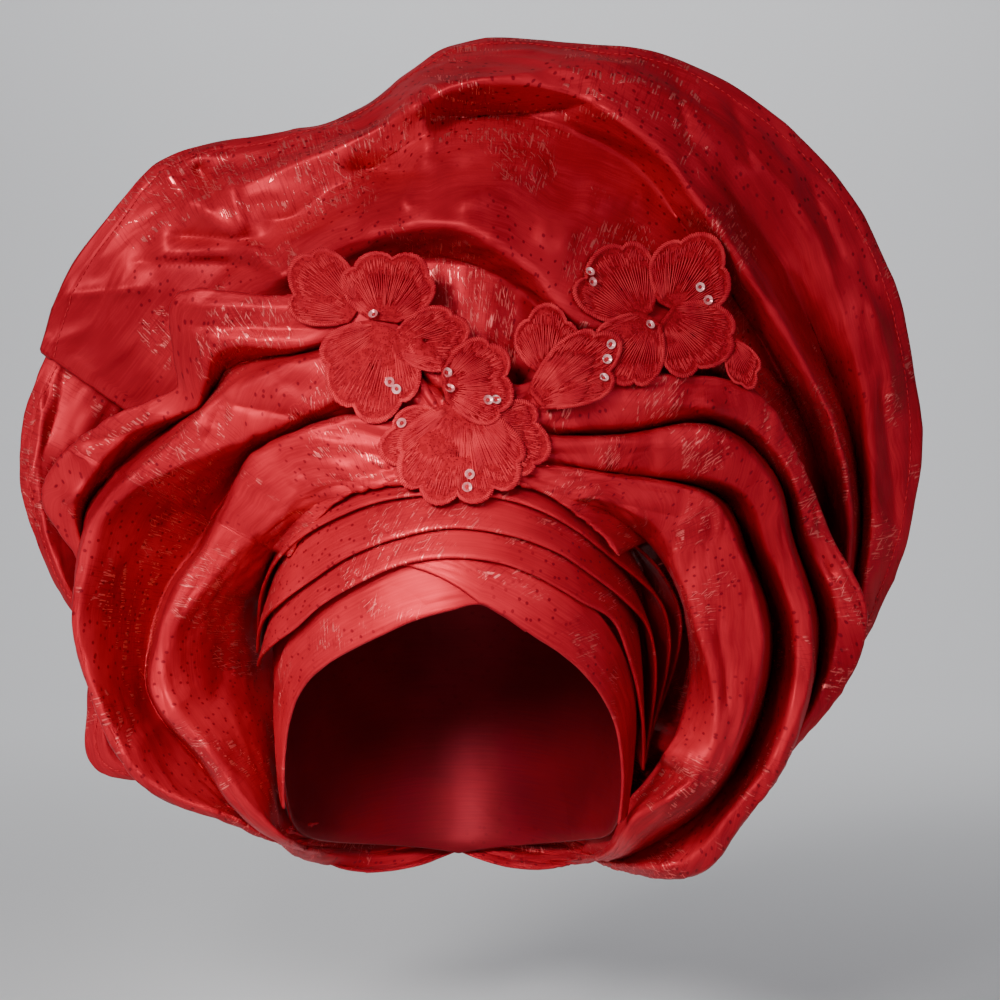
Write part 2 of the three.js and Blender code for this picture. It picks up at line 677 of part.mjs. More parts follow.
const gele = new THREE.Group();
gele.name = "gele";
gele.add(mesh("crown_wrap", crownWrap(), "brocade"));
gele.add(mesh("brow_band_under", browBandUnder(), "brocade"));
gele.add(mesh("brow_band_over", browBandOver(), "brocade"));
PLEATS.forEach((row, k) => gele.add(mesh(`brow_pleat_${row.pleat}`, browPleat(k), "brocade")));
gele.add(mesh("left_wing", foldedCloth(LEFT_WING, { along: 2, across: 2 }), "brocade"));
gele.add(mesh("right_wing", foldedCloth(RIGHT_WING, { along: 2, across: 2 }), "brocade"));
gele.add(mesh("top_fan", foldedCloth(FAN, { along: 2, across: 2 }), "brocade"));
gele.add(mesh("left_leaf", foldedCloth(LEAF, { along: 1, across: 2 }), "brocade"));
const lifts = {};
for (const applique of APPLIQUES) {
  lifts[applique.name] = laceLift(applique, [...gele.children]);
  gele.add(mesh(applique.name, lacePiece(applique, lifts[applique.name]), "lace"));
}
let sequinCount = 0;
for (const row of SEQUINS) {
  for (const place of row.places) {
    sequinCount += 1;
    const name = `sequin_${String(sequinCount).padStart(2, "0")}`;
    gele.add(mesh(name, sequinOn(lifts[row.on], place), "sequin"));
  }
}

export default gele;
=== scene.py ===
# %% [markdown]
# A tied gele. The real one is a single long cloth of stiff brocade. It is wound round the head, pleated
# over the brow, gathered at a knot above the forehead, and its free cloth is opened into two folded
# wings, a leaf and a tall fan. Lace flowers with sequins are sewn over the knot.
#
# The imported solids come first. They hold the sizes, and each cloth below stands for one of them.

# %% Load the frame
import math

import bmesh
import bpy
import numpy as np
from mathutils import Matrix, Vector
from mathutils.bvhtree import BVHTree


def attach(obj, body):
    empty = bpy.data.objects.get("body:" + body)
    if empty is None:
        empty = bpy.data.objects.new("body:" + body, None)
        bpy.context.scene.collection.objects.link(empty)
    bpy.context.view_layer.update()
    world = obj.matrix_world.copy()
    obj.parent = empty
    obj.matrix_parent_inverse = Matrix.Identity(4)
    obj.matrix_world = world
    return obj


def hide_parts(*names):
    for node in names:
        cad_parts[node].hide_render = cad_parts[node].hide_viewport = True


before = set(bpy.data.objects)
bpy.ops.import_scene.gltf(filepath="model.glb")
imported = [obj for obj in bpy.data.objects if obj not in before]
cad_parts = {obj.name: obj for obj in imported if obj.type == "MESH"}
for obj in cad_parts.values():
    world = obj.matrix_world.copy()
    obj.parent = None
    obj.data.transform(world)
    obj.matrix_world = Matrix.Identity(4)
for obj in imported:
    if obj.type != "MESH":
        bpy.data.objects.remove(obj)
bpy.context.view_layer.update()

# %% [markdown]
# Folds are measured as they show from the front: an angle round the middle of the head and a reach from
# it, in an upright plane. A depth then slides the point along the line of sight, so that its outline
# stays where it was measured. Between a few stations a smooth curve gives the rest, so the tables stay
# short.

# %% Places seen from the front
MM = 0.001
HEAD = {"width": 76, "depth": 97, "top": 112, "down": 190}
EYE = np.array([19.0, -900.0, 60.0])
EAR_DEPTH = 20
JAW_HEIGHT = -50
NAPE_DEPTH = 50
NAPE_LAYERS = 3
CRISP = 0.66


def table(columns, *rows):
    """A list of rows, each a dict by the names of the columns. A row may leave out the last ones."""
    return [dict(zip(columns.split(), row)) for row in rows]


def curve_at(stations, values, places):
    """Smooth values between stations that run up or down."""
    stations = np.asarray(stations, float)
    values = np.asarray(values, float)
    way = np.sign(stations[-1] - stations[0])
    run = stations * way
    at = np.asarray(places, float) * way
    slope = np.gradient(values, run)
    slope[1:-1] = (values[2:] - values[:-2]) / (run[2:] - run[:-2])
    i = np.clip(np.searchsorted(run, at, side="right") - 1, 0, len(run) - 2)
    span = run[i + 1] - run[i]
    t = np.clip((at - run[i]) / span, 0, 1)
    t2, t3 = t ** 2, t ** 3
    return ((2 * t3 - 3 * t2 + 1) * values[i] + (t3 - 2 * t2 + t) * slope[i] * span
            + (3 * t2 - 2 * t3) * values[i + 1] + (t3 - t2) * slope[i + 1] * span)


def places_along(stations, steps):
    parts = [np.linspace(a, b, steps, endpoint=False) for a, b in zip(stations[:-1], stations[1:])]
    return np.append(np.concatenate(parts), stations[-1])


def seen_place(x, z, depth):
    """The point at a depth that shows at x and z of the upright plane through the origin."""
    along = (depth - EYE[1]) / -EYE[1]
    return np.stack([EYE[0] + (x - EYE[0]) * along, depth + 0 * x, EYE[2] + (z - EYE[2]) * along], axis=-1)


def head_front(x, z, layers):
    c = np.where(z > 0, HEAD["top"], HEAD["down"])
    spread = (x / (HEAD["width"] + layers)) ** 2 + (z / (c + layers)) ** 2
    return -(HEAD["depth"] + layers) * np.sqrt(np.clip(1 - spread, 0, None))


def seen_point(angle, reach, depth, layers):
    x = reach * np.cos(np.radians(angle))
    z = reach * np.sin(np.radians(angle))
    free = seen_place(x, z, depth)
    front = head_front(free[..., 0], free[..., 2], layers)
    nape = -head_front(free[..., 0], free[..., 2], NAPE_LAYERS)
    over_brow = (depth < EAR_DEPTH) & (free[..., 2] > JAW_HEIGHT)
    deep = np.where(over_brow, np.where(front < 0, np.minimum(depth, front), depth),
                    np.where(depth > NAPE_DEPTH, np.maximum(depth, nape), depth))
    return seen_place(x, z, deep)

# %% [markdown]
# Across its folds a cloth runs through ridges and valleys. A centripetal Catmull-Rom curve goes through
# all of them without loops, however close two of them lie, so it bends the way stiff brocade does.

# %% Curve across the folds
def across_folds(knots, steps):
    """knots is columns x rows x 3; the curve runs across the rows."""
    first = 2 * knots[:, :1] - knots[:, 1:2]
    last = 2 * knots[:, -1:] - knots[:, -2:-1]
    p = np.concatenate([first, knots, last], axis=1)
    gap = np.sqrt(np.linalg.norm(np.diff(p, axis=1), axis=2))[..., None]
    gap = np.maximum(gap, 1e-3)
    out = []
    spans = knots.shape[1] - 1
    for i in range(spans):
        p0, p1, p2, p3 = (p[:, i + k] for k in range(4))
        d0, d1, d2 = (gap[:, i + k] for k in range(3))
        pull1 = ((p1 - p0) / d0 - (p2 - p0) / (d0 + d1) + (p2 - p1) / d1) * d1
        pull2 = ((p2 - p1) / d1 - (p3 - p1) / (d1 + d2) + (p3 - p2) / d2) * d1
        for s in range(steps + (i == spans - 1)):
            t = s / steps
            out.append(p1 + pull1 * t + (-3 * p1 + 3 * p2 - 2 * pull1 - pull2) * t ** 2
                       + (2 * p1 - 2 * p2 + pull1 + pull2) * t ** 3)
    return np.stack(out, axis=1)


def straight_across(knots, steps):
    """The same places, with the cloth pulled flat between its ridges and valleys."""
    share = np.linspace(0, 1, steps, endpoint=False)[None, None, :, None]
    flat = knots[:, :-1, None] * (1 - share) + knots[:, 1:, None] * share
    flat = flat.reshape(len(knots), -1, 3)
    return np.concatenate([flat, knots[:, -1:]], axis=1)


def folded_grid(cloth, along, across):
    """Middle points of a folded cloth, columns x rows x 3, in millimetres."""
    angles = places_along(cloth["angle"], along)
    reaches = [row["reach"] for row in cloth["rows"]]
    for i, share in enumerate(reaches):
        if not isinstance(share, list):
            inner, outer = np.array(reaches[i - 1], float), np.array(reaches[i + 1], float)
            reaches[i] = inner + (outer - inner) * share
    over = curve_at(cloth["over_angle"], cloth["over"], angles)
    knots = []
    for reach, row in zip(reaches, cloth["rows"]):
        far = curve_at(cloth["angle"], reach, angles)
        deep = curve_at(cloth["depth_angle"], row["depth"], angles)
        knots.append(seen_point(angles, far, deep, over))
    knots = np.stack(knots, axis=1)
    return across_folds(knots, across) * (1 - CRISP) + straight_across(knots, across) * CRISP

# %% [markdown]
# The tables below hold one row for each ridge, valley or edge of a cloth. A valley lies between its
# neighbours and has a share of the way between them for its reach. The same few numbers shaped the
# solids, so each cloth fills the place that its solid keeps.

# %% Fold tables
FOLD = "name reach depth"
LEFT_WING = {
    "over_angle": [92, 140, 176, 188, 274],
    "over": [10, 11, 12, 4, 4],
    "angle": [92, 106, 119, 129, 134.5, 138, 148, 160, 168, 178, 190, 204, 218, 230, 241, 274],
    "depth_angle": [92, 125, 160, 228, 241, 274],
    "rows": table(
        FOLD,
        ("tuck", [72, 73, 76, 78, 79, 79, 80, 79, 77, 75, 73, 77, 90, 101, 110, 88],
         [-83, -62, 30, 34, 62, 99]),
        ("edge", [70, 71, 75, 80, 83, 84, 87, 89, 90, 92, 93, 95, 101, 115, 110, 86],
         [-88, -68, -12, -6, 62, 101]),
        ("third in", [74, 79, 83, 88, 90, 91, 95, 103, 110, 121, 126, 116, 113, 112, 106, 83],
         [-89, -78, -54, -32, 62, 103]),
        ("third out", [84, 98, 107, 112, 115, 117, 113, 113, 120, 126, 131, 120, 118, 114, 104, 79],
         [-88, -78, -55, -28, 66, 106]),
        ("third valley", 0.1, [-81, -46, 10, 12, 70, 103]),
        ("second in", [91, 111, 116, 119, 124, 127, 141, 160, 161, 162, 155, 146, 123, 114, 100, 73],
         [-85, -68, -36, -6, 74, 106]),
        ("second out", [101, 128, 137, 142, 145, 146, 150, 163, 165, 164, 157, 149, 126, 114, 97, 69],
         [-85, -67, -36, -2, 78, 108]),
        ("second valley", 0.5, [-79, -42, 7, 10, 77, 105]),
        ("first in", [107, 136, 144, 161, 154, 150, 166, 173, 163, 158, 150, 140, 119, 108, 92, 62],
         [-83, -60, -14, 6, 81, 108]),
        ("first out", [117, 151, 169, 190, 172, 161, 177, 189, 166, 160, 152, 141, 120, 107, 88, 57],
         [-81, -57, -12, 10, 84, 111]),
        ("back edge", [115, 149, 165, 185, 168, 157, 171, 182, 161, 154, 146, 136, 115, 103, 84, 50],
         [-75, -46, 6, 16, 86, 111])),
}

RIGHT_WING = {
    "over_angle": [88, 60, 42, 30, 20, 8, -26, -38, -92],
    "over": [10, 11.5, 13, 16.5, 21, 24, 24, 6, 4],
    "angle": [88, 76, 62, 50, 40, 28, 16, 2, -20, -32, -44, -54, -63, -92],
    "depth_angle": [88, 55, 20, -48, -63, -92],
    "rows": table(
        FOLD,
        ("tuck", [72, 73, 74, 75, 77, 79, 78, 77, 78, 82, 92, 101, 108, 88],
         [-83, -62, 34, 36, 64, 91]),
        ("turn", [71, 72, 76, 80, 88, 96, 101, 104, 106, 104, 105, 113, 108, 87],
         [-85, -64, 10, 14, 64, 92]),
        ("edge", [70, 71, 74, 79, 86, 93, 98, 101, 104, 103, 103, 111, 107, 86],
         [-88, -68, -12, -6, 64, 93]),
        ("fourth in", [73, 74, 76, 82, 91, 101, 101, 105, 119, 118, 109, 113, 106, 84],
         [-89, -79, -54, -32, 62, 95]),
        ("fourth groove", [77, 79, 82, 89, 101, 120, 122, 124, 126, 123, 114, 114, 105, 81],
         [-88, -76, -51, -28, 65, 96]),
        ("fourth out", [79, 81, 85, 93, 106, 126, 128, 132, 129, 126, 117, 115, 104, 79],
         [-87, -75, -50, -24, 68, 98]),
        ("fourth valley", 0.3, [-81, -48, 8, 10, 70, 95]),
        ("third in", [83, 84, 89, 97, 111, 138, 140, 147, 146, 140, 137, 119, 101, 73],
         [-85, -70, -36, -12, 74, 98]),
        ("third out", [89, 92, 98, 113, 141, 152, 149, 153, 151, 146, 144, 122, 98, 69],
         [-85, -69, -36, -8, 78, 100]),
        ("third valley", 0.3, [-79, -44, 10, 12, 77, 97]),
        ("second in", [94, 97, 104, 121, 151, 161, 158, 165, 149, 141, 138, 117, 93, 62],
         [-83, -62, -18, 4, 81, 100]),
        ("second out", [105, 113, 125, 148, 167, 167, 167, 177, 150, 142, 139, 116, 90, 57],
         [-81, -59, -14, 8, 84, 103]),
        ("back edge", [103, 110, 121, 144, 162, 162, 162, 172, 145, 138, 134, 110, 85, 50],
         [-75, -46, 4, 14, 86, 103])),
}

FAN = {
    "over_angle": [145, -32],
    "over": [4.5, 4.5],
    "angle": [145, 137, 130, 120, 110, 100, 90, 80, 70, 60, 50, 40, 30, 20, 0, -14, -32],
    "depth_angle": [145, 118, 90, 66, 48, 20, -32],
    "rows": table(
        FOLD,
        ("base", [88, 89, 90, 92, 95, 98, 100, 99, 97, 95, 93, 91, 90, 86, 81, 82, 84],
         [14, -26, -62, -46, -20, 40, 52]),
        ("first valley",
         [142, 146, 150, 155, 158, 163, 164, 154, 140, 142, 150, 156, 155, 151, 144, 129, 108],
         [14, -23, -46, -42, -22, 42, 54]),
        ("first ridge",
         [155, 159, 166, 171, 175, 178, 178, 165, 148, 151, 160, 166, 166, 161, 151, 136, 113],
         [13, -30, -72, -62, -40, 24, 50]),
        ("second valley",
         [168, 174, 183, 189, 196, 206, 222, 226, 219, 202, 189, 181, 176, 170, 156, 139, 115],
         [13, -19, -36, -24, -8, 42, 54]),
        ("second ridge",
         [189, 198, 209, 215, 215, 220, 237, 241, 232, 214, 200, 192, 187, 180, 161, 144, 120],
         [12, -18, -46, -50, -36, 6, 50]),
        ("third valley",
         [202, 209, 220, 226, 220, 224, 244, 249, 243, 228, 215, 202, 194, 186, 164, 147, 122],
         [11, -11, -34, -44, -8, 40, 56]),
        ("third ridge",
         [215, 218, 227, 234, 225, 228, 249, 255, 255, 246, 236, 218, 204, 191, 169, 151, 125],
         [10, -9, -26, -38, -16, 14, 54]),
        ("rim", [217, 228, 234, 241, 230, 231, 255, 260, 266, 264, 257, 244, 228, 212, 175, 154, 127],
         [10, -3, -14, -22, 0, 28, 58])),
}

LEAF = {
    "over_angle": [118, 229],
    "over": [4.5, 4.5],
    "angle": [118, 130, 140, 150, 160, 170, 180, 190, 200, 208, 218, 229],
    "depth_angle": [118, 150, 175, 205, 229],
    "rows": table(
        FOLD,
        ("base", [112, 102, 94, 90, 90, 90, 90, 91, 92, 94, 98, 105],
         [22.6, 26.6, 26.6, 32.6, 42.6]),
        ("valley", [119, 146, 165, 168, 163, 151, 138, 138, 136, 120, 106, 107],
         [27.6, 32.6, 30.6, 36.6, 45.6]),
        ("lap", [123, 158, 177, 182, 180, 163, 149, 149, 146, 123, 109, 109],
         [25.6, 24.6, 18.6, 27.6, 44.6]),
        ("ridge", [128, 174, 205, 202, 190, 173, 153, 154, 155, 126, 112, 111],
         [24.6, 20.6, 10.6, 23.6, 45.6]),
        ("rim", [132, 184, 212, 210, 198, 177, 157, 160, 163, 128, 115, 113],
         [27.6, 24.6, 16.6, 27.6, 48.6])),
}
for name, cloth in (("left wing", LEFT_WING), ("right wing", RIGHT_WING), ("fan", FAN), ("leaf", LEAF)):
    print(name, "rows:", [row["name"] for row in cloth["rows"]])

# %% [markdown]
# A cloth has two faces and a thickness. A grid of middle points becomes a closed wall: each face lies
# half a thickness away along the cloth's own normal, and round rims close the edges. Its UV map is in
# metres of cloth, so the weave keeps its size wherever the cloth bends.

# %% Cloth walls
CLOTH = 1.5
HEM = 6.0
HEM_RISE = 0.6
HEM_DEEP = 0.35


def grid_normals(grid, ring=False):
    if ring:
        along = np.roll(grid, -1, axis=0) - np.roll(grid, 1, axis=0)
    else:
        along = np.gradient(grid, axis=0)
    across = np.gradient(grid, axis=1)
    normal = np.cross(along, across)
    return normal / np.maximum(np.linalg.norm(normal, axis=2, keepdims=True), 1e-9)


def cloth_lengths(grid):
    """Metres of cloth along the columns and across the rows, for the UV map."""
    step_u = np.linalg.norm(np.diff(grid, axis=0), axis=2).mean(axis=1)
    step_v = np.linalg.norm(np.diff(grid, axis=1), axis=2)
    u = np.concatenate([[0], np.cumsum(step_u)])
    v = np.concatenate([np.zeros((len(grid), 1)), np.cumsum(step_v, axis=1)], axis=1)
    v = v - v.mean(axis=1, keepdims=True) * 0.5
    return np.stack([np.broadcast_to(u[:, None], v.shape), v], axis=2) * MM


def new_object(name, points, faces, uvs=None):
    mesh = bpy.data.meshes.new(name)
    mesh.from_pydata([tuple(p) for p in points.tolist()], [], faces)
    if uvs is not None:
        corner = np.empty(len(mesh.loops), dtype=np.int32)
        mesh.loops.foreach_get("vertex_index", corner)
        layer = mesh.uv_layers.new(name="cloth")
        layer.data.foreach_set("uv", uvs[corner].astype(np.float32).ravel())
    mesh.shade_smooth()
    made = bpy.data.objects.new(name, mesh)
    bpy.context.scene.collection.objects.link(made)
    return made


def smooth_step(value, low, high):
    t = np.clip((value - low) / (high - low), 0, 1)
    return t * t * (3 - 2 * t)


def from_rim(grid):
    """How far each place of a grid lies from its last row, along the cloth."""
    steps = np.linalg.norm(np.diff(grid, axis=1), axis=2)
    return np.concatenate([np.cumsum(steps[:, ::-1], axis=1)[:, ::-1], np.zeros((len(grid), 1))], axis=1)

# %% [markdown]
# Each column of the grid becomes a loop of points: up the front, over the rim, down the back and over
# the other rim. Neighbouring loops are joined by quads, and a line of points past the first and the last
# loop rounds and closes the sides.

# %% A closed wall
def past_edge(line, inner, half):
    """A row of points just past an edge, which rounds it."""
    out = line - inner
    return line + out / np.maximum(np.linalg.norm(out, axis=1, keepdims=True), 1e-9) * half


def cloth_wall(name, grid, thickness=CLOTH, ring=False, pole=False, hem=0.0):
    """A closed wall round a grid of middle points in millimetres. A ring joins its last column to its
    first, and a pole draws its first row to a point. A hem thickens the millimetres before the last row."""
    columns, rows = grid.shape[:2]
    half = np.full((columns, rows, 1), thickness / 2)
    if hem:
        half[:, :, 0] += hem * smooth_step(-from_rim(grid), -HEM, -HEM + HEM_RISE)
    lift = grid_normals(grid, ring) * half
    front, back = grid + lift, grid - lift
    uv = cloth_lengths(grid)
    rim = past_edge(grid[:, -1], grid[:, -2], half[:, -1])[:, None]
    if pole:
        for face in (front, back):
            face[:, 0] = face[:, 0].mean(axis=0)
    loops, uvs = [front, rim, back[:, ::-1]], [uv, uv[:, -1:], uv[:, ::-1]]
    if not pole:
        loops.append(past_edge(grid[:, 0], grid[:, 1], half[:, 0])[:, None])
        uvs.append(uv[:, :1])
    loops, uvs = np.concatenate(loops, axis=1), np.concatenate(uvs, axis=1)
    points, places = [loops.reshape(-1, 3)], [uvs.reshape(-1, 2)]
    ids = np.arange(len(points[0])).reshape(columns, -1)
    here = ids if ring else ids[:-1]
    ahead = np.roll(ids, -1, axis=0) if ring else ids[1:]
    walls = np.stack([here, ahead, np.roll(ahead, -1, axis=1), np.roll(here, -1, axis=1)], axis=2)
    behind = slice(rows + 1, 2 * rows)
    walls[:, behind] = np.roll(walls[:, behind], -1, axis=2)
    faces = walls[:, :-1 if pole else None].reshape(-1, 4).tolist()
    if not ring:
        match = np.concatenate([np.arange(rows), [rows - 1], np.arange(rows)[::-1], [0]])
        for column, inner in ((0, 1), (-1, -2)):
            end = match + sum(len(part) for part in points)
            points.append(past_edge(grid[column], grid[inner], half[column]))
            places.append(uv[column])
            a, b, c, d = ids[column], np.roll(ids[column], -1), np.roll(end, -1), end
            order = (a, b, c, d) if column == 0 else (b, a, d, c)
            faces += np.stack(order, axis=1).tolist()
    faces = [list(dict.fromkeys(face)) for face in faces]
    made = new_object(name, np.concatenate(points) * MM, faces, np.concatenate(places))
    if pole:
        merge_doubles(made)
    turn_outward(made)
    return made


def merge_doubles(made):
    work = bmesh.new()
    work.from_mesh(made.data)
    bmesh.ops.remove_doubles(work, verts=work.verts, dist=1e-7)
    work.to_mesh(made.data)
    work.free()


def turn_outward(made):
    """Turns the faces round if the closed wall came out inside out."""
    mesh = made.data
    mesh.calc_loop_triangles()
    corners = np.empty(len(mesh.loop_triangles) * 3, dtype=np.int32)
    mesh.loop_triangles.foreach_get("vertices", corners)
    at = np.empty(len(mesh.vertices) * 3)
    mesh.vertices.foreach_get("co", at)
    a, b, c = (at.reshape(-1, 3)[corners.reshape(-1, 3)[:, k]] for k in range(3))
    if np.einsum("ij,ij->i", a, np.cross(b, c)).sum() < 0:
        mesh.flip_normals()

# %% [markdown]
# Real brocade is never smooth between its main folds. Small ripples run along them, gathers spread from
# the knot, and a crease shows where the cloth was bent. Each is a gentle move of the grid's points along
# the cloth's normal or along the line of sight, so that the main folds keep their places.

# %% Ripples, gathers and creases
KNOT = np.array([4.0, 82.0])
GATHERS = {"height": 0.8, "count": 34, "far": 62}
WAVES = {"finer": 1.6, "fainter": 1.3, "bend": 0.8, "per_octave": 4}


def seen_at(grid):
    """Where the points show in the upright plane through the origin."""
    along = (grid[..., 1] - EYE[1]) / -EYE[1]
    x = EYE[0] + (grid[..., 0] - EYE[0]) / along
    z = EYE[2] + (grid[..., 2] - EYE[2]) / along
    return x, z


def smooth_noise(u, v, seed, octaves=3):
    """Soft seeded unevenness of about -1 to 1: a few waves in mixed directions, each bent by the last."""
    rng = np.random.default_rng(seed)
    out = np.zeros_like(u)
    wave = 0
    for k in range(octaves * WAVES["per_octave"]):
        octave = k / WAVES["per_octave"]
        way = rng.uniform(0, 2 * math.pi)
        size = WAVES["finer"] ** octave * rng.uniform(0.8, 1.25)
        wave = np.sin((u * math.cos(way) + v * math.sin(way)) * size * 2 * math.pi
                      + rng.uniform(0, 2 * math.pi) + WAVES["bend"] * wave)
        out += wave / WAVES["fainter"] ** octave
    return out / np.abs(out).max()


def rippled(grid, height, length, breadth, seed, ring=False):
    """Ripples, longer along the folds than across them. Half of their height has sharp tops."""
    uv = cloth_lengths(grid) / MM
    along, across = uv[..., 0] / length, uv[..., 1] / breadth
    sharp = 0.6 - 2 * np.abs(smooth_noise(along, across, seed + 100, 2))
    lift = (smooth_noise(along, across, seed) + sharp) / 2
    return grid + grid_normals(grid, ring) * (height * lift)[..., None]


def gathered(grid, height, count, far):
    """Fine gathers that run out of the knot and fade with distance from it."""
    x, z = seen_at(grid)
    away = np.hypot(x - KNOT[0], z - KNOT[1])
    way = np.arctan2(z - KNOT[1], x - KNOT[0])
    wave = np.sin(count * way + 1.7 * np.sin(3 * way)) * np.exp(-(away / far) ** 2)
    return grid + grid_normals(grid) * (height * wave)[..., None]


def creased(grid, creases):
    """Creases are seen from the front: from one place to another, bowed aside, with a breadth and a height.
    A height above zero is a ridge. Its left flank may be broader or narrower than its right one."""
    x, z = seen_at(grid)
    lift = np.zeros_like(x)
    for crease in creases:
        a = np.array([crease["from_x"], crease["from_z"]], float)
        run = np.array([crease["to_x"], crease["to_z"]], float) - a
        size = np.hypot(*run)
        t = ((x - a[0]) * run[0] + (z - a[1]) * run[1]) / size ** 2
        side = ((x - a[0]) * -run[1] + (z - a[1]) * run[0]) / size
        side = side - crease.get("bow", 0) * 4 * t * (1 - t)
        ends = smooth_step(np.minimum(t, 1 - t) * 4 + 0.25, 0, 1)
        near = crease["breadth"] * np.where(side > 0, crease.get("left", 1), 1)
        lift += crease["height"] * ends * np.exp(-np.abs(side) / near)
    toward = EYE - grid
    toward /= np.linalg.norm(toward, axis=-1, keepdims=True)
    return grid + toward * lift[..., None]


def settled(grid):
    """Averaging with the neighbours, which rounds what stiff cloth would round."""
    around = (grid[:-2, 1:-1] + grid[2:, 1:-1] + grid[1:-1, :-2] + grid[1:-1, 2:]) / 4
    grid = grid.copy()
    grid[1:-1, 1:-1] = (grid[1:-1, 1:-1] + around) / 2
    return grid

# %% [markdown]
# The two wings are the deep folds on both sides. They start at the knot, pass the ears and end at the
# nape.

# %% Wings
WING_RIPPLE = {"height": 1.2, "length": 80, "breadth": 14}
FAN_RIPPLE = {"height": 1.7, "length": 90, "breadth": 34}
LEAF_RIPPLE = {"height": 0.9, "length": 60, "breadth": 20}


def folded_cloth(name, cloth, along, across, ripple, creases, seed, hem=0.0):
    """The closed wall of a cloth, and the grid of its middle points."""
    grid = rippled(settled(folded_grid(cloth, along, across)), seed=seed, **ripple)
    grid = creased(gathered(grid, **GATHERS), creases)
    made = cloth_wall(name, grid, hem=hem)
    spread = [np.linalg.norm(np.diff(grid, axis=k), axis=2).sum(axis=k).mean() for k in (0, 1)]
    print(name, grid.shape[0] * grid.shape[1] * 4, "triangles, spread out", np.round(spread), "mm")
    return made, grid


CREASE = "from_x from_z to_x to_z height breadth bow left"
LEFT_CREASES = table(CREASE,
    (-52, 142, -118, 144, 2.4, 2.0),
    (-56, 134, -116, 135, -2.4, 2.2),
    (-60, 128, -112, 129, 1.8, 2.0),
    (-168, 60, -140, 76, 6, 2.4, 0, 1.6),
    (-176, 82, -120, 92, -2.2, 2.0),
    (-135, 98, -100, 90, 2.4, 3.0),
    (-100, 102, -60, 95, -2.2, 2.0),
    (-98, 106, -108, 84, -2.7, 2.5),
    (-150, 20, -120, 60, -3, 5.0),
    (-158, -10, -138, 44, 2.7, 5.0, 4),
    (-112, -2, -92, 34, 2.4, 3.0),
    (-104, -30, -98, 6, -2.4, 3.0),
    (-86, 22, -66, 72, 1.8, 3.0),
    (-120, -36, -100, -62, -3, 4.0),
    (-140, -48, -112, -20, 3, 4.0))
RIGHT_CREASES = table(CREASE,
    (60, 108, 132, 108, -2, 2.0, 3),
    (66, 103, 120, 100, 2.1, 2.4),
    (104, 106, 118, 92, 3, 3.0),
    (148, 48, 160, 56, 4.5, 2.4, 0, 0.6),
    (150, 44, 164, 26, -3.6, 4.0),
    (60, 86, 118, 82, 1.8, 2.4),
    (66, 60, 100, 52, -1.8, 2.4),
    (112, 20, 118, -34, -2.4, 3.0),
    (124, 40, 134, -10, 2.1, 4.0),
    (140, 60, 158, 4, -2.4, 4.0),
    (104, -44, 88, -76, 3.3, 4.0),
    (128, -40, 112, -80, -2.7, 4.0),
    (152, -20, 136, -60, 2.4, 4.0))
left_wing = folded_cloth("left_wing_cloth", LEFT_WING, 16, 14, WING_RIPPLE, LEFT_CREASES, seed=3)[0]
right_wing = folded_cloth("right_wing_cloth", RIGHT_WING, 16, 13, WING_RIPPLE, RIGHT_CREASES, seed=5)[0]

# %% [markdown]
# The fan stands up behind both wings. Its star-shaped crease on the left comes from the way it was
# folded before it was tied.

# %% Fan and leaf
FAN_CREASES = table(CREASE,
    (-128, 206, -112, 184, 5.2, 4.0),
    (-112, 206, -102, 186, -6.3, 3.5),
    (-99, 204, -90, 174, 4.8, 3.5),
    (-116, 192, -66, 150, 7.6, 6.0, 0, 1.6),
    (-124, 174, -84, 172, -7.6, 5.0),
    (-132, 165, -84, 168, 5.7, 5.0),
    (-140, 162, -80, 158, -5.2, 5.0, 3),
    (-84, 180, -50, 184, -3.9, 6.0),
    (-24, 240, -11, 208, 10.5, 8.0, 3),
    (-11, 210, -24, 184, 6.3, 6.0),
    (-46, 203, -10, 201, -7.2, 5.0),
    (-17, 226, 62, 232, -11.1, 7.0, -3),
    (-17, 238, 56, 246, 5.7, 6.0),
    (-6, 200, 34, 214, -4.8, 4.0),
    (0, 186, 42, 204, 5.2, 4.0),
    (95, 242, 101, 212, -2.1, 2.0),
    (118, 232, 128, 202, -2.8, 4.0),
    (62, 188, 84, 188, 3.3, 3.0, 2),
    (34, 176, 52, 170, 3.9, 3.0),
    (36, 206, 56, 190, -3.3, 5.0),
    (150, 200, 168, 160, -3.9, 5.0),
    (176, 150, 188, 96, 4.3, 5.0, 3),
    (182, 112, 190, 50, -3.9, 4.0),
    (-128, 152, -172, 148, 3.3, 4.0))
LEAF_CREASES = table(CREASE,
    (-142, 128, -144, 98, -2.6, 2.0),
    (-131, 126, -146, 96, 3.2, 3.0),
    (-168, 124, -180, 76, -3.2, 4.0, 3),
    (-178, 110, -186, 60, 3.8, 3.0, 3),
    (-172, 40, -162, 4, 2.9, 3.0))
top_fan, fan_grid = folded_cloth("top_fan_cloth", FAN, 20, 18, FAN_RIPPLE, FAN_CREASES, seed=7,
                                 hem=HEM_DEEP)
left_leaf, leaf_grid = folded_cloth("left_leaf_cloth", LEAF, 18, 16, LEAF_RIPPLE, LEAF_CREASES, seed=9,
                                    hem=HEM_DEEP)

# %% [markdown]
# Over the brow the cloth is laid in layers. Each layer is a strip on the head, from a lower edge that
# shows to an upper one tucked under the next. The face axis runs from the middle of the head down to the
# face, and a place on a strip is a turn about that axis and a lean away from it.

# %% Brow layers
LAYER = 2.2
FACE_TILT = math.radians(24)
FACE = np.array([0, -math.cos(FACE_TILT), -math.sin(FACE_TILT)])
FACE_UP = np.array([0, -math.sin(FACE_TILT), math.cos(FACE_TILT)])
FACE_SIDE = np.array([1.0, 0, 0])

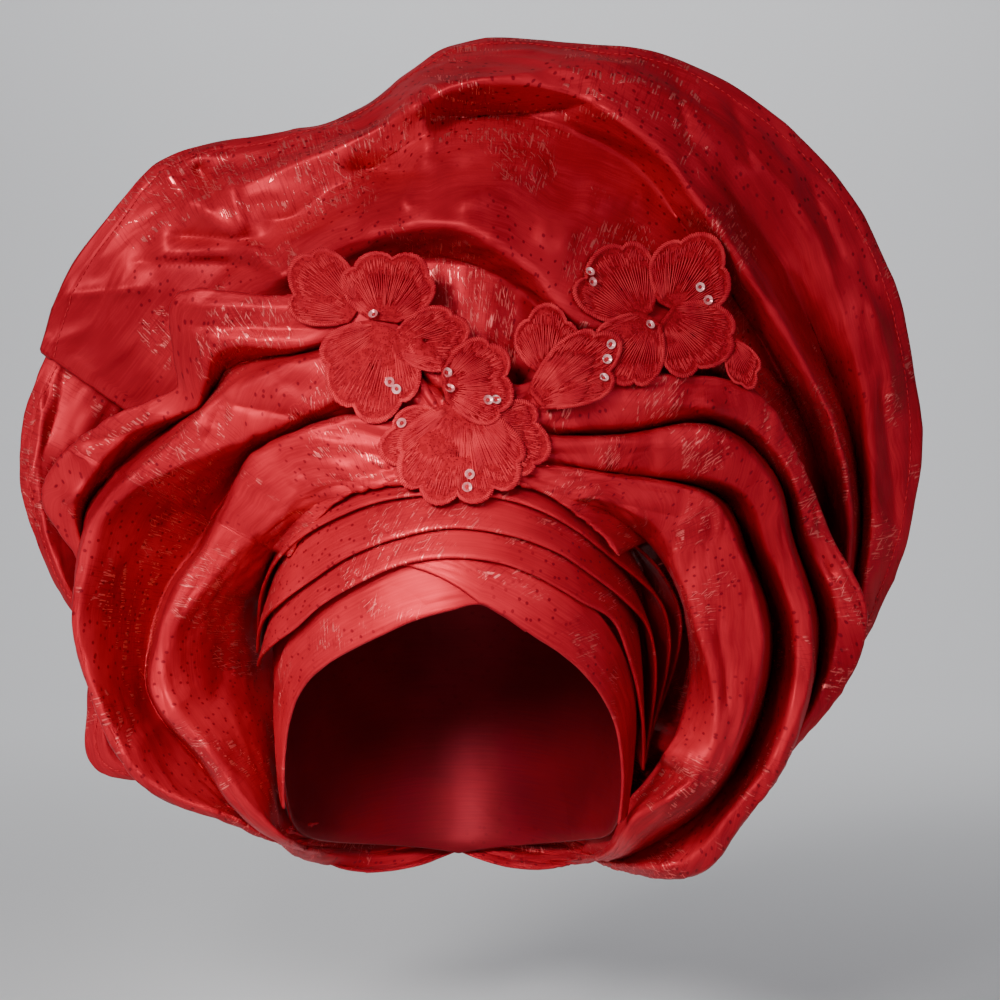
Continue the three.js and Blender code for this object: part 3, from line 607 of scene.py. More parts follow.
BROW_TURN = [-36, -28, -20, -5, 10, 25, 40, 55, 70, 79, 90, 105, 120, 135, 150, 165, 180, 195, 207, 216]
OPENING = [51.5, 51, 49.5, 46, 41.5, 38, 35.5, 34.3, 35.5, 36.5, 34.5, 33.2, 32.8, 34.3, 37.5, 42, 46.5,
           51, 55, 59]
PLEAT_TURN = [-28, -14, 0, 15, 30, 45, 60, 75, 90, 105, 120, 135, 150, 165, 180]
PLEATS = [
    {"loose": 0, "lean": [68, 62, 58, 55, 53.5, 48, 46, 45.5, 45.2, 45, 45, 47, 50.5, 60, 74]},
    {"loose": 3, "lean": [72, 72, 72, 69, 61.5, 56, 53.5, 52, 51.5, 51, 52, 54.5, 61, 72, 82]},
    {"loose": 8, "lean": [76, 79, 82, 80, 71.5, 64.5, 61.5, 60, 58.8, 60.2, 63, 68.5, 76, 83, 89]},
    {"loose": 13, "lean": [80, 85, 89, 88, 83, 74, 67, 64.8, 64, 65, 69, 75.5, 84, 91, 96]},
]
TUCK = 4
BAND_TUCK = 1.2
PLEAT_LOW = 3.3 * LAYER
PLEAT_HIGH = 1.2 * LAYER
LOOSE_TURN = {"from": 42, "most": 4, "end": -34}
APEX_TURN = 79
UNDER_BAND_END = 58
BAND_BREADTH = 15
CHEEK_BREADTH = 6
FREE_EDGE_CLIMB = 0.36
BAND_TIP = [86, 93, 99, 104]
BAND_GAP = 0.8
STRIP = {"lift": 0.8, "wall": 1.4, "length": 70, "breadth": 7}


def on_head(turn, lean, height):
    turn, lean = np.radians(turn)[..., None], np.radians(lean)[..., None]
    out = FACE * np.cos(lean) + np.sin(lean) * (FACE_SIDE * np.cos(turn) + FACE_UP * np.sin(turn))
    c = np.where(out[..., 2] > 0, HEAD["top"], HEAD["down"])
    size = np.sqrt((out[..., 0] / (HEAD["width"] + height)) ** 2
                   + (out[..., 1] / (HEAD["depth"] + height)) ** 2 + (out[..., 2] / (c + height)) ** 2)
    return out / size[..., None]


def brow_strip(name, turns, low, high, height_at, steps, ripple, seed):
    part = np.linspace(0, 1, steps + 1)[None, :]
    turn = turns[:, None] + 0 * part
    lean = low[:, None] + (high - low)[:, None] * part
    grid = on_head(turn, lean, height_at(part, turn) + STRIP["lift"])
    grid = rippled(grid, ripple, STRIP["length"], STRIP["breadth"], seed)
    return cloth_wall(name, grid, STRIP["wall"])


def opening_at(turn):
    return curve_at(BROW_TURN, OPENING, turn)


def pleat_low(k, turn):
    return curve_at(PLEAT_TURN, PLEATS[k]["lean"], turn)


def band_high(turn):
    within = np.clip(turn, PLEAT_TURN[0], PLEAT_TURN[-1])
    under_pleat = pleat_low(0, within) + BAND_TUCK
    from_end = np.minimum(turn - BROW_TURN[0], BROW_TURN[-1] - turn)
    breadth = CHEEK_BREADTH + (BAND_BREADTH - CHEEK_BREADTH) * smooth_step(from_end, 0, 40)
    return np.minimum(under_pleat, opening_at(turn) + breadth)


def brow_pleat(k):
    turns = places_along(PLEAT_TURN, 9)
    low = pleat_low(k, turns)
    high = TUCK + (pleat_low(k + 1, turns) if k < len(PLEATS) - 1 else low + TUCK)

    def height_at(part, turn):
        off = smooth_step(turn, LOOSE_TURN["end"], LOOSE_TURN["most"]) * (
            1 - smooth_step(turn, LOOSE_TURN["most"], LOOSE_TURN["from"]))
        loose_high = PLEATS[k - 1]["loose"] if k else 0
        near = PLEAT_LOW + off * PLEATS[k]["loose"]
        return near + (PLEAT_HIGH + off * loose_high - near) * part

    return brow_strip(f"brow_pleat_{k + 1}_cloth", turns, low, high, height_at, 14, 0.35, 20 + k)

# %% [markdown]
# Four pleats come first, then the two bands. The band that lies over the other ends in a tip past the
# middle of the brow, where its free edge climbs.

# %% Pleats and bands
pleats = [brow_pleat(k) for k in range(len(PLEATS))]

under_turns = places_along([UNDER_BAND_END] + [t for t in BROW_TURN if t > UNDER_BAND_END], 10)
band_under = brow_strip("brow_band_under_cloth", under_turns, opening_at(under_turns),
                        band_high(under_turns), lambda part, turn: LAYER + 0 * part, 26, 0.35, 31)

over_turns = places_along([t for t in BROW_TURN if t <= APEX_TURN] + BAND_TIP, 10)
free_edge = np.minimum(opening_at(APEX_TURN) + (over_turns - APEX_TURN) * FREE_EDGE_CLIMB,
                       band_high(over_turns) - BAND_GAP)
over_low = np.where(over_turns <= APEX_TURN, opening_at(over_turns), free_edge)
band_over = brow_strip("brow_band_over_cloth", over_turns, over_low, band_high(over_turns),
                       lambda part, turn: 2 * LAYER + 0 * part, 26, 0.3, 33)
print("brow layers:", len(pleats) + 2)

# %% [markdown]
# The photograph hides the crown. The cloth is wound over it, so it is a plain dome with soft slanting
# folds, from its pole to a rim that clears the face and covers the nape.

# %% Crown wrap
RIM = {"azimuth": [0, 20, 40, 60, 75, 90, 120, 180], "height": [32, 22, 8, -14, -48, -77, -92, -104]}
POLE = math.radians(1.5)
CROWN = {"wall": 1.3, "lift": 0.9, "folds": 12, "fold_high": 0.7}
CROWN_RIPPLE = {"height": 0.2, "length": 60, "breadth": 20}


def crown_wrap(columns=130, rows=56):
    azimuth = np.linspace(0, 360, columns, endpoint=False)[:, None]
    rim = curve_at(RIM["azimuth"], RIM["height"], np.where(azimuth <= 180, azimuth, 360 - azimuth))
    lowest = np.where(rim > 0, np.arccos(np.clip(rim / HEAD["top"], -1, 1)),
                      math.pi / 2 + np.arcsin(np.clip(-rim / HEAD["down"], -1, 1)))
    polar = POLE + (lowest - POLE) * np.linspace(0, 1, rows)[None, :]
    reach = np.sin(polar)
    turn = np.radians(azimuth)
    down = np.cos(polar) * np.where(polar < math.pi / 2, HEAD["top"], HEAD["down"])
    across, ahead = reach * HEAD["width"] * np.sin(turn), -reach * HEAD["depth"] * np.cos(turn)
    out = np.stack([across, ahead, down], axis=2)
    wave = np.sin(CROWN["folds"] * polar + 2 * turn + 0.6 * np.sin(3 * turn))
    wave = wave * smooth_step(-np.cos(turn), -0.2, 0.5)
    lift = CROWN["lift"] + CROWN["fold_high"] * wave * reach ** 2
    out *= 1 + (lift / np.linalg.norm(out, axis=2))[..., None]
    grid = rippled(out, seed=41, ring=True, **CROWN_RIPPLE)
    return cloth_wall("crown_wrap_cloth", grid, CROWN["wall"], ring=True, pole=True)


crown = crown_wrap()
print("crown faces:", len(crown.data.polygons))

# %% [markdown]
# The lace is stiff net with embroidered petals. Sewn on over the knot, it bridges the hollows between
# the folds and touches only their tops. So its drape is found like a stretched skin: sight lines find
# the cloth, and each place of the skin then takes the mean of its neighbours, but never sinks into the
# cloth.

# %% Drape over the cloth
DRAPE = {"left": -84, "right": 138, "low": 44, "high": 178, "step": 3}


def cloth_tree(pieces):
    points, faces = [], []
    for piece in pieces:
        start = len(points)
        points += [v.co.copy() for v in piece.data.vertices]
        faces += [[start + i for i in face.vertices] for face in piece.data.polygons]
    return BVHTree.FromPolygons(points, faces)


def skin_over(pieces, rounds=240, slack=0.05):
    """Depth in millimetres of a skin over the pieces, on a lattice of places seen from the front."""
    tree = cloth_tree(pieces)
    xs = np.arange(DRAPE["left"], DRAPE["right"] + 1, DRAPE["step"])
    zs = np.arange(DRAPE["low"], DRAPE["high"] + 1, DRAPE["step"])
    cloth = np.full((len(xs), len(zs)), 10.0)
    eye = Vector(EYE * MM)
    for i, x in enumerate(xs):
        for j, z in enumerate(zs):
            hit, *_ = tree.ray_cast(eye, Vector((x * MM, 0, z * MM)) - eye)
            if hit:
                cloth[i, j] = hit.y / MM
    skin = cloth.copy()
    for _ in range(rounds):
        padded = np.pad(skin, 1, mode="edge")
        mean = (padded[:-2, 1:-1] + padded[2:, 1:-1] + padded[1:-1, :-2] + padded[1:-1, 2:]) / 4
        skin = np.minimum(cloth, mean + slack)
    return xs, zs, skin


def drape_depth(skin, x, z):
    xs, zs, depth = skin
    x, z = np.asarray(x, float), np.asarray(z, float)
    fx = np.clip((x - xs[0]) / DRAPE["step"], 0, len(xs) - 1.001)
    fz = np.clip((z - zs[0]) / DRAPE["step"], 0, len(zs) - 1.001)
    i, j = fx.astype(int), fz.astype(int)
    s, t = fx - i, fz - j
    return ((depth[i, j] * (1 - s) + depth[i + 1, j] * s) * (1 - t)
            + (depth[i, j + 1] * (1 - s) + depth[i + 1, j + 1] * s) * t)


skin = skin_over([left_wing, right_wing, top_fan] + pleats)
print("skin over the knot:", skin[2].shape, "depth", np.round([skin[2].min(), skin[2].max()], 1))

# %% [markdown]
# Each petal spreads from a root near its flower's heart, like a fan. Its outer edge has a few large
# lobes and many fine scallops, a corded rim, and threads that run from the root to the rim. Petals
# overlap like tiles: each lies a little over the one before it, and a few lie well above the rest,
# toward the viewer.

# %% Petals
PETAL = "root_x root_z way long spread lobes lift ribs"
PETALS = {
    "lace_left": table(PETAL,
        (-38, 138, 146, 40, 92, 3, 0.3, 1.7),
        (-31, 135, 82, 34, 138, 4, 0.8, 1.5),
        (-27, 138, 246, 44, 124, 4, 1.2, 1.7),
        (-31, 125, 12, 37, 86, 3, 1.7, 1.5)),
    "lace_knot": table(PETAL,
        (6, 92, 196, 38, 92, 3, 1.4, 1.4),
        (2, 92, -12, 40, 90, 3, 1.4, 1.4),
        (4, 104, 266, 48, 136, 6, 2.4, 0.95)),
    "lace_fold": table(PETAL,
        (39, 112, 88, 31, 108, 3, 1.0, 1.4),
        (28, 99, 34, 51, 66, 3, 3.2, 0.85)),
    "lace_right": table(PETAL,
        (83, 134, 124, 41, 100, 3, 0.4, 1.8),
        (91, 139, 60, 38, 116, 3, 0.8, 1.8),
        (88, 142, 322, 36, 112, 3, 1.3, 1.6),
        (87, 142, 236, 36, 100, 3, 1.8, 1.6),
        (117, 132, 296, 25, 66, 3, 0.4, 1.2)),
    "lace_middle": table(PETAL,
        (-8, 108, 10, 35, 120, 4, 3.0, 1.2)),
}
LACE_WALL = 0.8
LOBE_DEEP = 0.11
WANDER = 0.05
PETAL_ROUND = 0.34
SCALLOP = {"pitch": 2.6, "deep": 0.35}
PROFILE = {"at": [0, 0.25, 0.5, 0.72, 0.84, 0.91, 0.955, 1.0],
           "high": [0.0, 0.10, 0.25, 0.35, 0.15, 0.60, 0.75, 0.3]}
CORD_HIGH = 0.65
SPOKES = 168
RINGS = [0.0, 0.12, 0.25, 0.38, 0.50, 0.60, 0.70, 0.78, 0.84, 0.88, 0.91, 0.935, 0.96, 0.98, 1.0]


def petal_edge(petal, part):
    """The outline's place at a part, 0 to 1, of the way round from the root and back to it."""
    turn = np.radians(petal["way"] + petal["spread"] * (part - 0.5))
    lobes = np.abs(np.sin(math.pi * petal["lobes"] * part)) ** 0.6
    reach = petal["long"] * np.cos(math.pi * (part - 0.5)) ** PETAL_ROUND * (1 - LOBE_DEEP * (1 - lobes))
    reach = reach * (1 + WANDER * np.sin(2 * math.pi * (1.6 * part + petal["long"] / 7)))
    around = petal["long"] * math.radians(petal["spread"])
    reach = reach + SCALLOP["deep"] * np.abs(np.sin(math.pi * part * round(around / SCALLOP["pitch"])))
    return petal["root_x"] + reach * np.cos(turn), petal["root_z"] + reach * np.sin(turn)


def petal_middle(petal):
    way = math.radians(petal["way"])
    return (petal["root_x"] + 0.5 * petal["long"] * math.cos(way),
            petal["root_z"] + 0.5 * petal["long"] * math.sin(way))


def petal_place(petal, start, share, part, above):
    """A place on a petal: a share of the way from a start to its edge, and a height above the drape."""
    x, z = petal_edge(petal, part)
    across = start[0] + (x - start[0]) * share
    up = start[1] + (z - start[1]) * share
    return seen_place(across, up, drape_depth(skin, across, up) - above)


def petal_grid(petal):
    """Rings round the petal's middle, so that its pole lies inside it."""
    part = ((np.arange(SPOKES) + 0.5) / SPOKES)[:, None]
    share = np.array(RINGS)[None, :]
    high = curve_at(PROFILE["at"], PROFILE["high"], share)
    return petal_place(petal, petal_middle(petal), share, part, petal["lift"] + high + LACE_WALL)


def joined(name, parts):
    """One object from several, with nothing moved."""
    for part in parts:
        part.select_set(True)
    bpy.context.view_layer.objects.active = parts[0]
    if len(parts) > 1:
        bpy.ops.object.join()
    parts[0].name = name
    parts[0].data.name = name
    parts[0].select_set(False)
    return parts[0]


bpy.ops.object.select_all(action="DESELECT")
laces = {}
for node, petals in PETALS.items():
    shells = [cloth_wall(f"{node}_petal_{k}", petal_grid(petal), LACE_WALL, ring=True, pole=True)
              for k, petal in enumerate(petals)]
    laces[node] = joined(f"{node}_cloth", shells)
print("petals:", sum(len(petals) for petals in PETALS.values()))

# %% [markdown]
# Satin stitches and sequins repeat, so Geometry Nodes place them. The points below carry a turn and a
# size as attributes. The tree puts a small shape on each, then makes the copies real and gives them
# their finish.

# %% Repeats on points
def points_with(name, places, turns, sizes):
    mesh = bpy.data.meshes.new(name)
    mesh.from_pydata([tuple(p) for p in (np.array(places) * MM).tolist()], [], [])
    for key, data in (("turn", turns), ("size", sizes)):
        layer = mesh.attributes.new(key, "FLOAT_VECTOR", "POINT")
        layer.data.foreach_set("vector", np.asarray(data, dtype=np.float32).ravel())
    made = bpy.data.objects.new(name, mesh)
    bpy.context.scene.collection.objects.link(made)
    return made


def repeat_tree(name):
    tree = bpy.data.node_groups.new(name, "GeometryNodeTree")
    tree.interface.new_socket("Geometry", in_out="INPUT", socket_type="NodeSocketGeometry")
    shape = tree.interface.new_socket("Shape", in_out="INPUT", socket_type="NodeSocketObject")
    finish = tree.interface.new_socket("Finish", in_out="INPUT", socket_type="NodeSocketMaterial")
    tree.interface.new_socket("Geometry", in_out="OUTPUT", socket_type="NodeSocketGeometry")

    def node(kind, **settings):
        made = tree.nodes.new(kind)
        for key, value in settings.items():
            setattr(made, key, value)
        return made

    start, end = node("NodeGroupInput"), node("NodeGroupOutput")
    copy_of = node("GeometryNodeObjectInfo")
    onto = node("GeometryNodeInstanceOnPoints")
    turn = node("GeometryNodeInputNamedAttribute", data_type="FLOAT_VECTOR")
    turn.inputs["Name"].default_value = "turn"
    size = node("GeometryNodeInputNamedAttribute", data_type="FLOAT_VECTOR")
    size.inputs["Name"].default_value = "size"
    to_turn = node("FunctionNodeEulerToRotation")
    real = node("GeometryNodeRealizeInstances")
    smooth = node("GeometryNodeSetShadeSmooth")
    paint = node("GeometryNodeSetMaterial")
    for source, output, target, socket in (
            (start, "Geometry", onto, "Points"), (start, "Shape", copy_of, "Object"),
            (copy_of, "Geometry", onto, "Instance"), (turn, "Attribute", to_turn, 0),
            (to_turn, 0, onto, "Rotation"), (size, "Attribute", onto, "Scale"),
            (onto, "Instances", real, "Geometry"), (real, "Geometry", smooth, "Geometry"),
            (smooth, "Geometry", paint, "Geometry"), (start, "Finish", paint, "Material"),
            (paint, "Geometry", end, "Geometry")):
        tree.links.new(source.outputs[output], target.inputs[socket])
    return tree, shape.identifier, finish.identifier


REPEAT, SHAPE_INPUT, FINISH_INPUT = repeat_tree("copies_on_points")


def repeated(name, places, turns, sizes, shape, finish):
    """A plain mesh of copies of a shape."""
    seeds = points_with(name + "_points", places, turns, sizes)
    modifier = seeds.modifiers.new("copies", "NODES")
    modifier.node_group = REPEAT
    modifier[SHAPE_INPUT] = shape
    modifier[FINISH_INPUT] = finish
    depsgraph = bpy.context.evaluated_depsgraph_get()
    mesh = bpy.data.meshes.new_from_object(seeds.evaluated_get(depsgraph))
    seeds.modifiers.remove(modifier)
    bpy.data.objects.remove(seeds)
    made = bpy.data.objects.new(name, mesh)
    mesh.name = name
    bpy.context.scene.collection.objects.link(made)
    print(name, len(mesh.polygons), "faces")
    return made

# %% [markdown]
# Three small shapes are repeated: a thread, a sequin's cup and a seed bead. They have few faces, because
# there are thousands of them.

# %% Small shapes
def facing(way, out):
    """The turn that points a shape's X along way and its Z along out."""
    x = Vector(way).normalized()
    z = (Vector(out) - x * Vector(out).dot(x)).normalized()
    y = z.cross(x)
    return Matrix((x, y, z)).transposed().to_euler()


def lathed(name, profile, sides):
    """A closed ring shape turned about Z from (radius, height) places, in millimetres."""
    points, faces = [], []
    for s in range(sides):
        a = 2 * math.pi * s / sides
        points += [(r * math.cos(a), r * math.sin(a), h) for r, h in profile]
    n = len(profile)
    for s in range(sides):
        t = (s + 1) % sides
        faces += [(s * n + k, t * n + k, t * n + (k + 1) % n, s * n + (k + 1) % n) for k in range(n)]
    return new_object(name, np.array(points) * MM, faces)


def thread_shape(name):
    """A short thread along X, one millimetre long and thick, tapered at both ends."""
    points, faces = [], []
    rings = [(-0.5, 0.15), (-0.36, 0.42), (0, 0.5), (0.36, 0.42), (0.5, 0.15)]
    for x, r in rings:
        points += [(x, r * math.cos(a), r * math.sin(a)) for a in np.arange(5) * (2 * math.pi / 5)]
    for k in range(len(rings) - 1):
        ring, ahead = k * 5, k * 5 + 5
        faces += [(ring + s, ring + (s + 1) % 5, ahead + (s + 1) % 5, ahead + s) for s in range(5)]
    faces += [tuple(range(4, -1, -1)), tuple(range(len(points) - 5, len(points)))]
    made = new_object(name, np.array(points) * MM, faces)
    turn_outward(made)
    return made


thread = thread_shape("thread_shape")
print("thread:", len(thread.data.polygons), "faces")

# %% [markdown]
# Satin stitches fill a petal in two rows, one near the rim and one over its middle. A cord of slanting
# stitches covers the rim. Each thread lies between two places of the petal, a little above its cloth.

# %% Stitches
RIM_PITCH = 0.9
CORD_PITCH = 0.95
FREE = {"rim": 1.5 * LACE_WALL, "satin": 0.45}


def threads_between(name, ends, thick, finish, longer=0.0, long=None):
    """A thread from each start to its end, seen flat from the front. Some are longer than their stretch."""
    places = [(a + b) / 2 for a, b in ends]
    turns = [facing(b - a, EYE - a) for a, b in ends]
    sizes = [(long or np.linalg.norm(b - a) + longer, *thick) for a, b in ends]
    return repeated(name, places, turns, sizes, thread, finish)


def satin_stitches(node, petals, finish, seed):
    """Threads from near the root to near the rim, of uneven length, in two rows."""
    rng = np.random.default_rng(seed)
    ends = []
    for petal in petals:
        root = (petal["root_x"], petal["root_z"])
        around = petal["long"] * math.radians(petal["spread"])
        above = petal["lift"] + FREE["satin"] + FREE["rim"]
        for near, far, pitch in ((0.78, 0.91, RIM_PITCH), (0.34, 0.76, petal["ribs"])):
            for part in np.arange(0.06, 0.94, pitch / around):
                part = part + rng.uniform(-0.004, 0.004)
                start, end = near + rng.uniform(-0.08, 0.08), far + rng.uniform(-0.05, 0.02)
                ends.append([petal_place(petal, root, share, part, high)
                             for share, high in ((start, above), (end, above + 0.15))])
    return threads_between(f"{node}_stitches", ends, (0.5, 0.55), finish)


def corded_rims(node, petals, finish):
    """A cord of short slanting stitches round each petal's rim."""
    ends = []
    for petal in petals:
        fine = np.linspace(0.01, 0.99, 600)
        x, z = petal_edge(petal, fine)
        run = np.concatenate([[0], np.cumsum(np.hypot(np.diff(x), np.diff(z)))])
        parts = np.interp(np.arange(0, run[-1], CORD_PITCH), run, fine)
        middle = petal_middle(petal)
        high = petal["lift"] + CORD_HIGH + FREE["rim"]
        for here, ahead in zip(parts, parts[1:]):
            ends.append((petal_place(petal, middle, 0.93, here, high),
                         petal_place(petal, middle, 1.01, ahead, high - 0.3)))
    return threads_between(f"{node}_cord", ends, (0.8, 0.8), finish, longer=0.5)

# %% [markdown]
# Finishes. A small class lets a number in a shader be written as a plain expression, and one method
# makes every other node.

# %% Shader words
class Value:
    """A socket's output. Python's operators on it add Math nodes."""

    def __init__(self, finish, socket):
        self.finish = finish
        self.socket = socket

    def math(self, operation, a, b):
        return self.finish.node("ShaderNodeMath", {"operation": operation}, {0: a, 1: b})

    def __add__(self, other):
        return self.math("ADD", self, other)

    __radd__ = __add__

    def __sub__(self, other):
        return self.math("SUBTRACT", self, other)

    def __rsub__(self, other):
        return self.math("SUBTRACT", other, self)

    def __mul__(self, other):
        return self.math("MULTIPLY", self, other)

    __rmul__ = __mul__


class Finish:
    """A material that is being made."""

    def __init__(self, name, colour):
        self.material = bpy.data.materials.new(name)
        self.material.use_nodes = True
        self.material.diffuse_color = (*colour, 1)
        self.tree = self.material.node_tree
        self.surface = self.tree.nodes["Principled BSDF"]

    def node(self, kind, settings=None, inputs=None, output=0):
        made = self.tree.nodes.new(kind)
        for key, value in (settings or {}).items():
            setattr(made, key, value)
        for key, value in (inputs or {}).items():
            self.put(made.inputs[key], value)
        return Value(self, made.outputs[output])

    def put(self, socket, value):
        if isinstance(value, Value):
            self.tree.links.new(value.socket, socket)
        else:
            socket.default_value = value

    def surface_is(self, **inputs):
        for key, value in inputs.items():
            self.put(self.surface.inputs[key.replace("_", " ")], value)

    def cloth_place(self, across=1.0, along=1.0, turn=0.0):
        """The cloth's own UV map, in millimetres, turned and then stretched."""
        uv = self.node("ShaderNodeUVMap", {"uv_map": "cloth"})
        return self.node("ShaderNodeMapping", {"vector_type": "TEXTURE"},
                         {"Vector": uv, "Rotation": (0, 0, math.radians(turn)),
                          "Scale": (MM / across, MM / along, 1)})

    def noise(self, place, scale, detail=2.0, rough=0.5, output=0):
        return self.node("ShaderNodeTexNoise", {"noise_dimensions": "2D"},
                         {"Vector": place, "Scale": scale, "Detail": detail, "Roughness": rough}, output)

    def uneven(self, scale, detail, low, high):
        """Soft blotches through the piece, on its Object coordinates."""
        at = self.node("ShaderNodeTexCoord", output=3)
        noise = self.node("ShaderNodeTexNoise", {}, {"Vector": at, "Scale": scale, "Detail": detail})
        return self.ramp(noise, low, high)

    def bend(self, place, scale, far):
        """A soft shift of places, so that straight patterns wander."""
        noise = self.noise(place, scale, 1.0, output=1)
        middle = self.node("ShaderNodeVectorMath", {"operation": "SUBTRACT"}, {0: noise, 1: (0.5,) * 3})
        return self.node("ShaderNodeVectorMath", {"operation": "SCALE"}, {0: middle, "Scale": far})

    def ramp(self, value, low, high):
        return self.node("ShaderNodeMapRange", {"interpolation_type": "SMOOTHSTEP"},
                         {"Value": value, "From Min": low, "From Max": high, "To Min": 0.0, "To Max": 1.0})

    def mix(self, share, a, b):
        """The first colour, the second, or a share of the way between them."""
        a, b = (colour if isinstance(colour, Value) else (*colour, 1) for colour in (a, b))
        return self.node("ShaderNodeMix", {"data_type": "RGBA"}, {0: share, 6: a, 7: b}, 2)

    def bump(self, height, distance, strength=1.0, under=None):
        inputs = {"Height": height, "Distance": distance, "Strength": strength}
        if under is not None:
            inputs["Normal"] = under
        return self.node("ShaderNodeBump", {}, inputs)

# %% [markdown]
# The brocade is a stiff red satin with a fine weave. Metallic threads come to its face in patches. In
# some they stand in rows of short upright ticks, in others they run as broken scratches, with small dots
# between them. Handling leaves a net of sharp, shallow creases, and each patch catches the light a
# little differently.

# %% Brocade
RED = (0.41, 0.011, 0.021)
DEEP_RED = (0.25, 0.005, 0.011)
DOT_RED = (0.10, 0.002, 0.005)
METAL_RED = (0.74, 0.125, 0.12)
PATCH = {"scale": 0.018, "from": 0.47, "to": 0.58}
STROKE = {"across": 1.25, "along": 0.10, "from": 0.57, "to": 0.65}
TICK_ROWS = 0.55
CROSS = {"turn": 38, "from": 0.62, "to": 0.69}
FAINT = {"from": 0.44, "to": 0.34, "share": 0.35}
TICKS = {"across": 1.1, "along": 0.11, "from": 0.50, "to": 0.58}
DOTS = {"scale": 0.17, "from": 0.15, "to": 0.09, "share": 0.75}
FACETS = {"scale": 0.020, "deep": 0.0010}
WEAVE = {"scale": 2.2, "deep": 0.00006}
THREAD = {"deep": 0.00016, "share": 0.8, "smoother": 0.14, "metal": 0.45}
SATIN = {"rough": 0.43, "metal": 0.28, "specular": 0.20, "tint": (1.0, 0.25, 0.32, 1)}


def brocade(name, red=RED, deep_red=DEEP_RED, metal=1.0, turn=0.0):
    f = Finish(name, red)
    place = f.cloth_place()
    shade = f.noise(place, 0.02, 3.0)
    slub = f.noise(f.cloth_place(across=0.05, along=1.2), 1.0, 3.0)
    parts = f.node("ShaderNodeSeparateXYZ", {}, {"Vector": place}, output=1)

    patch = f.ramp(f.noise(place, PATCH["scale"], 2.0), PATCH["from"], PATCH["to"])
    kind = f.ramp(f.noise(place, 0.011, 1.0), 0.48, 0.54)
    lay = f.noise(f.cloth_place(STROKE["across"], STROKE["along"], turn), 1.0, 2.0, 0.55)
    cross = f.noise(f.cloth_place(STROKE["across"], STROKE["along"], turn + CROSS["turn"]), 1.0, 2.0, 0.55)
    stroke = f.ramp(lay, STROKE["from"], STROKE["to"]) + f.ramp(cross, CROSS["from"], CROSS["to"])
    faint = f.ramp(lay, FAINT["from"], FAINT["to"])
    rows = f.node("ShaderNodeMath", {"operation": "SINE"},
                  {0: parts * TICK_ROWS + f.noise(place, 0.03, 1.0) * 14.0})
    tick = f.noise(f.cloth_place(TICKS["across"], TICKS["along"], turn), 1.0, 1.0)
    tick = f.ramp(tick, TICKS["from"], TICKS["to"]) * f.ramp(rows, 0.3, 0.6)
    wear = f.ramp(f.noise(place, 0.22, 3.0), 0.40, 0.56)
    thread = (tick * kind + stroke * (1 - kind)) * wear * patch * metal
    thread = f.ramp(thread, 0.1, 0.9)
    spots = f.node("ShaderNodeTexVoronoi", {"voronoi_dimensions": "2D"},
                   {"Vector": place, "Scale": DOTS["scale"]})
    dot = f.ramp(spots, DOTS["from"], DOTS["to"]) * f.ramp(f.noise(place, 0.014, 1.0), 0.46, 0.54)

    colour = f.mix(f.ramp(shade + slub * 0.4, 0.45, 0.95), deep_red, red)
    colour = f.mix(faint * patch * FAINT["share"] * metal, colour, DOT_RED)
    colour = f.mix(dot * DOTS["share"], colour, DOT_RED)
    colour = f.mix(thread * THREAD["share"], colour, METAL_RED)

    bent = f.node("ShaderNodeVectorMath", {"operation": "ADD"}, {0: place, 1: f.bend(place, 0.03, 16.0)})
    facets = f.node("ShaderNodeTexVoronoi", {"voronoi_dimensions": "2D", "feature": "DISTANCE_TO_EDGE"},
                    {"Vector": bent, "Scale": FACETS["scale"]})
    normal = f.bump(f.noise(place, WEAVE["scale"], 2.0), WEAVE["deep"], 0.35)
    normal = f.bump(facets * 1.6 + f.noise(place, 0.05, 2.0) * 0.8, FACETS["deep"], 0.6, normal)
    normal = f.bump(thread, THREAD["deep"], 0.8, normal)
    f.surface_is(Base_Color=colour, Normal=normal, Metallic=thread * THREAD["metal"] + SATIN["metal"],
                 Roughness=SATIN["rough"] - thread * THREAD["smoother"] + slub * 0.08)
    f.surface_is(Specular_IOR_Level=SATIN["specular"], Specular_Tint=SATIN["tint"])
    return f.material


cloth_finish = brocade("brocade")
brow_finish = brocade("brocade_brow", turn=35)
# Its dark red is partly the reverse's dull tone and partly painted shade for the hollow of the crown.
reverse_painted_shade = brocade("brocade_reverse_painted_shade", (0.15, 0.004, 0.008), (0.10, 0.003, 0.006), metal=0.0)
print("brocade nodes:", len(cloth_finish.node_tree.nodes))

# %% [markdown]
# Every cloth piece stands for its solid and rides on the one body of the part. The size that it was
# cut to, half its closed surface, is printed.

# %% Stand in for the solids
def stands_for(piece, node, finish):
    piece.data.materials.clear()
    piece.data.materials.append(finish)
    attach(piece, "root")
    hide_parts(node)


def cut_size(piece):
    """Half the closed surface is the cloth, in square metres."""
    return sum(face.area for face in piece.data.polygons) / 2


dressed = {
    "left_wing": left_wing, "right_wing": right_wing, "top_fan": top_fan, "left_leaf": left_leaf,
    "brow_band_under": band_under, "brow_band_over": band_over, "crown_wrap": crown,
}
for k, piece in enumerate(pleats):
    dressed[f"brow_pleat_{k + 1}"] = piece
for node, piece in dressed.items():
    finish = brow_finish if node.startswith("brow_") else cloth_finish
    stands_for(piece, node, finish)
    print(node, "cloth:", round(cut_size(piece), 4), "square metres")

# %% [markdown]
# Brocade shows its threads on one side only. The reverse, which faces into the hollow of the crown, is
# duller and bare of metal. Its much darker red is partly that dull reverse and partly painted shade,
# which stands in for the shade inside the hollow.

# %% Reverse of the crown
crown.data.materials.append(reverse_painted_shade)
inward = 0
for face in crown.data.polygons:
    if face.normal.dot(face.center) < 0:
        face.material_index = 1
        inward += 1
print("faces of the crown's reverse:", inward)
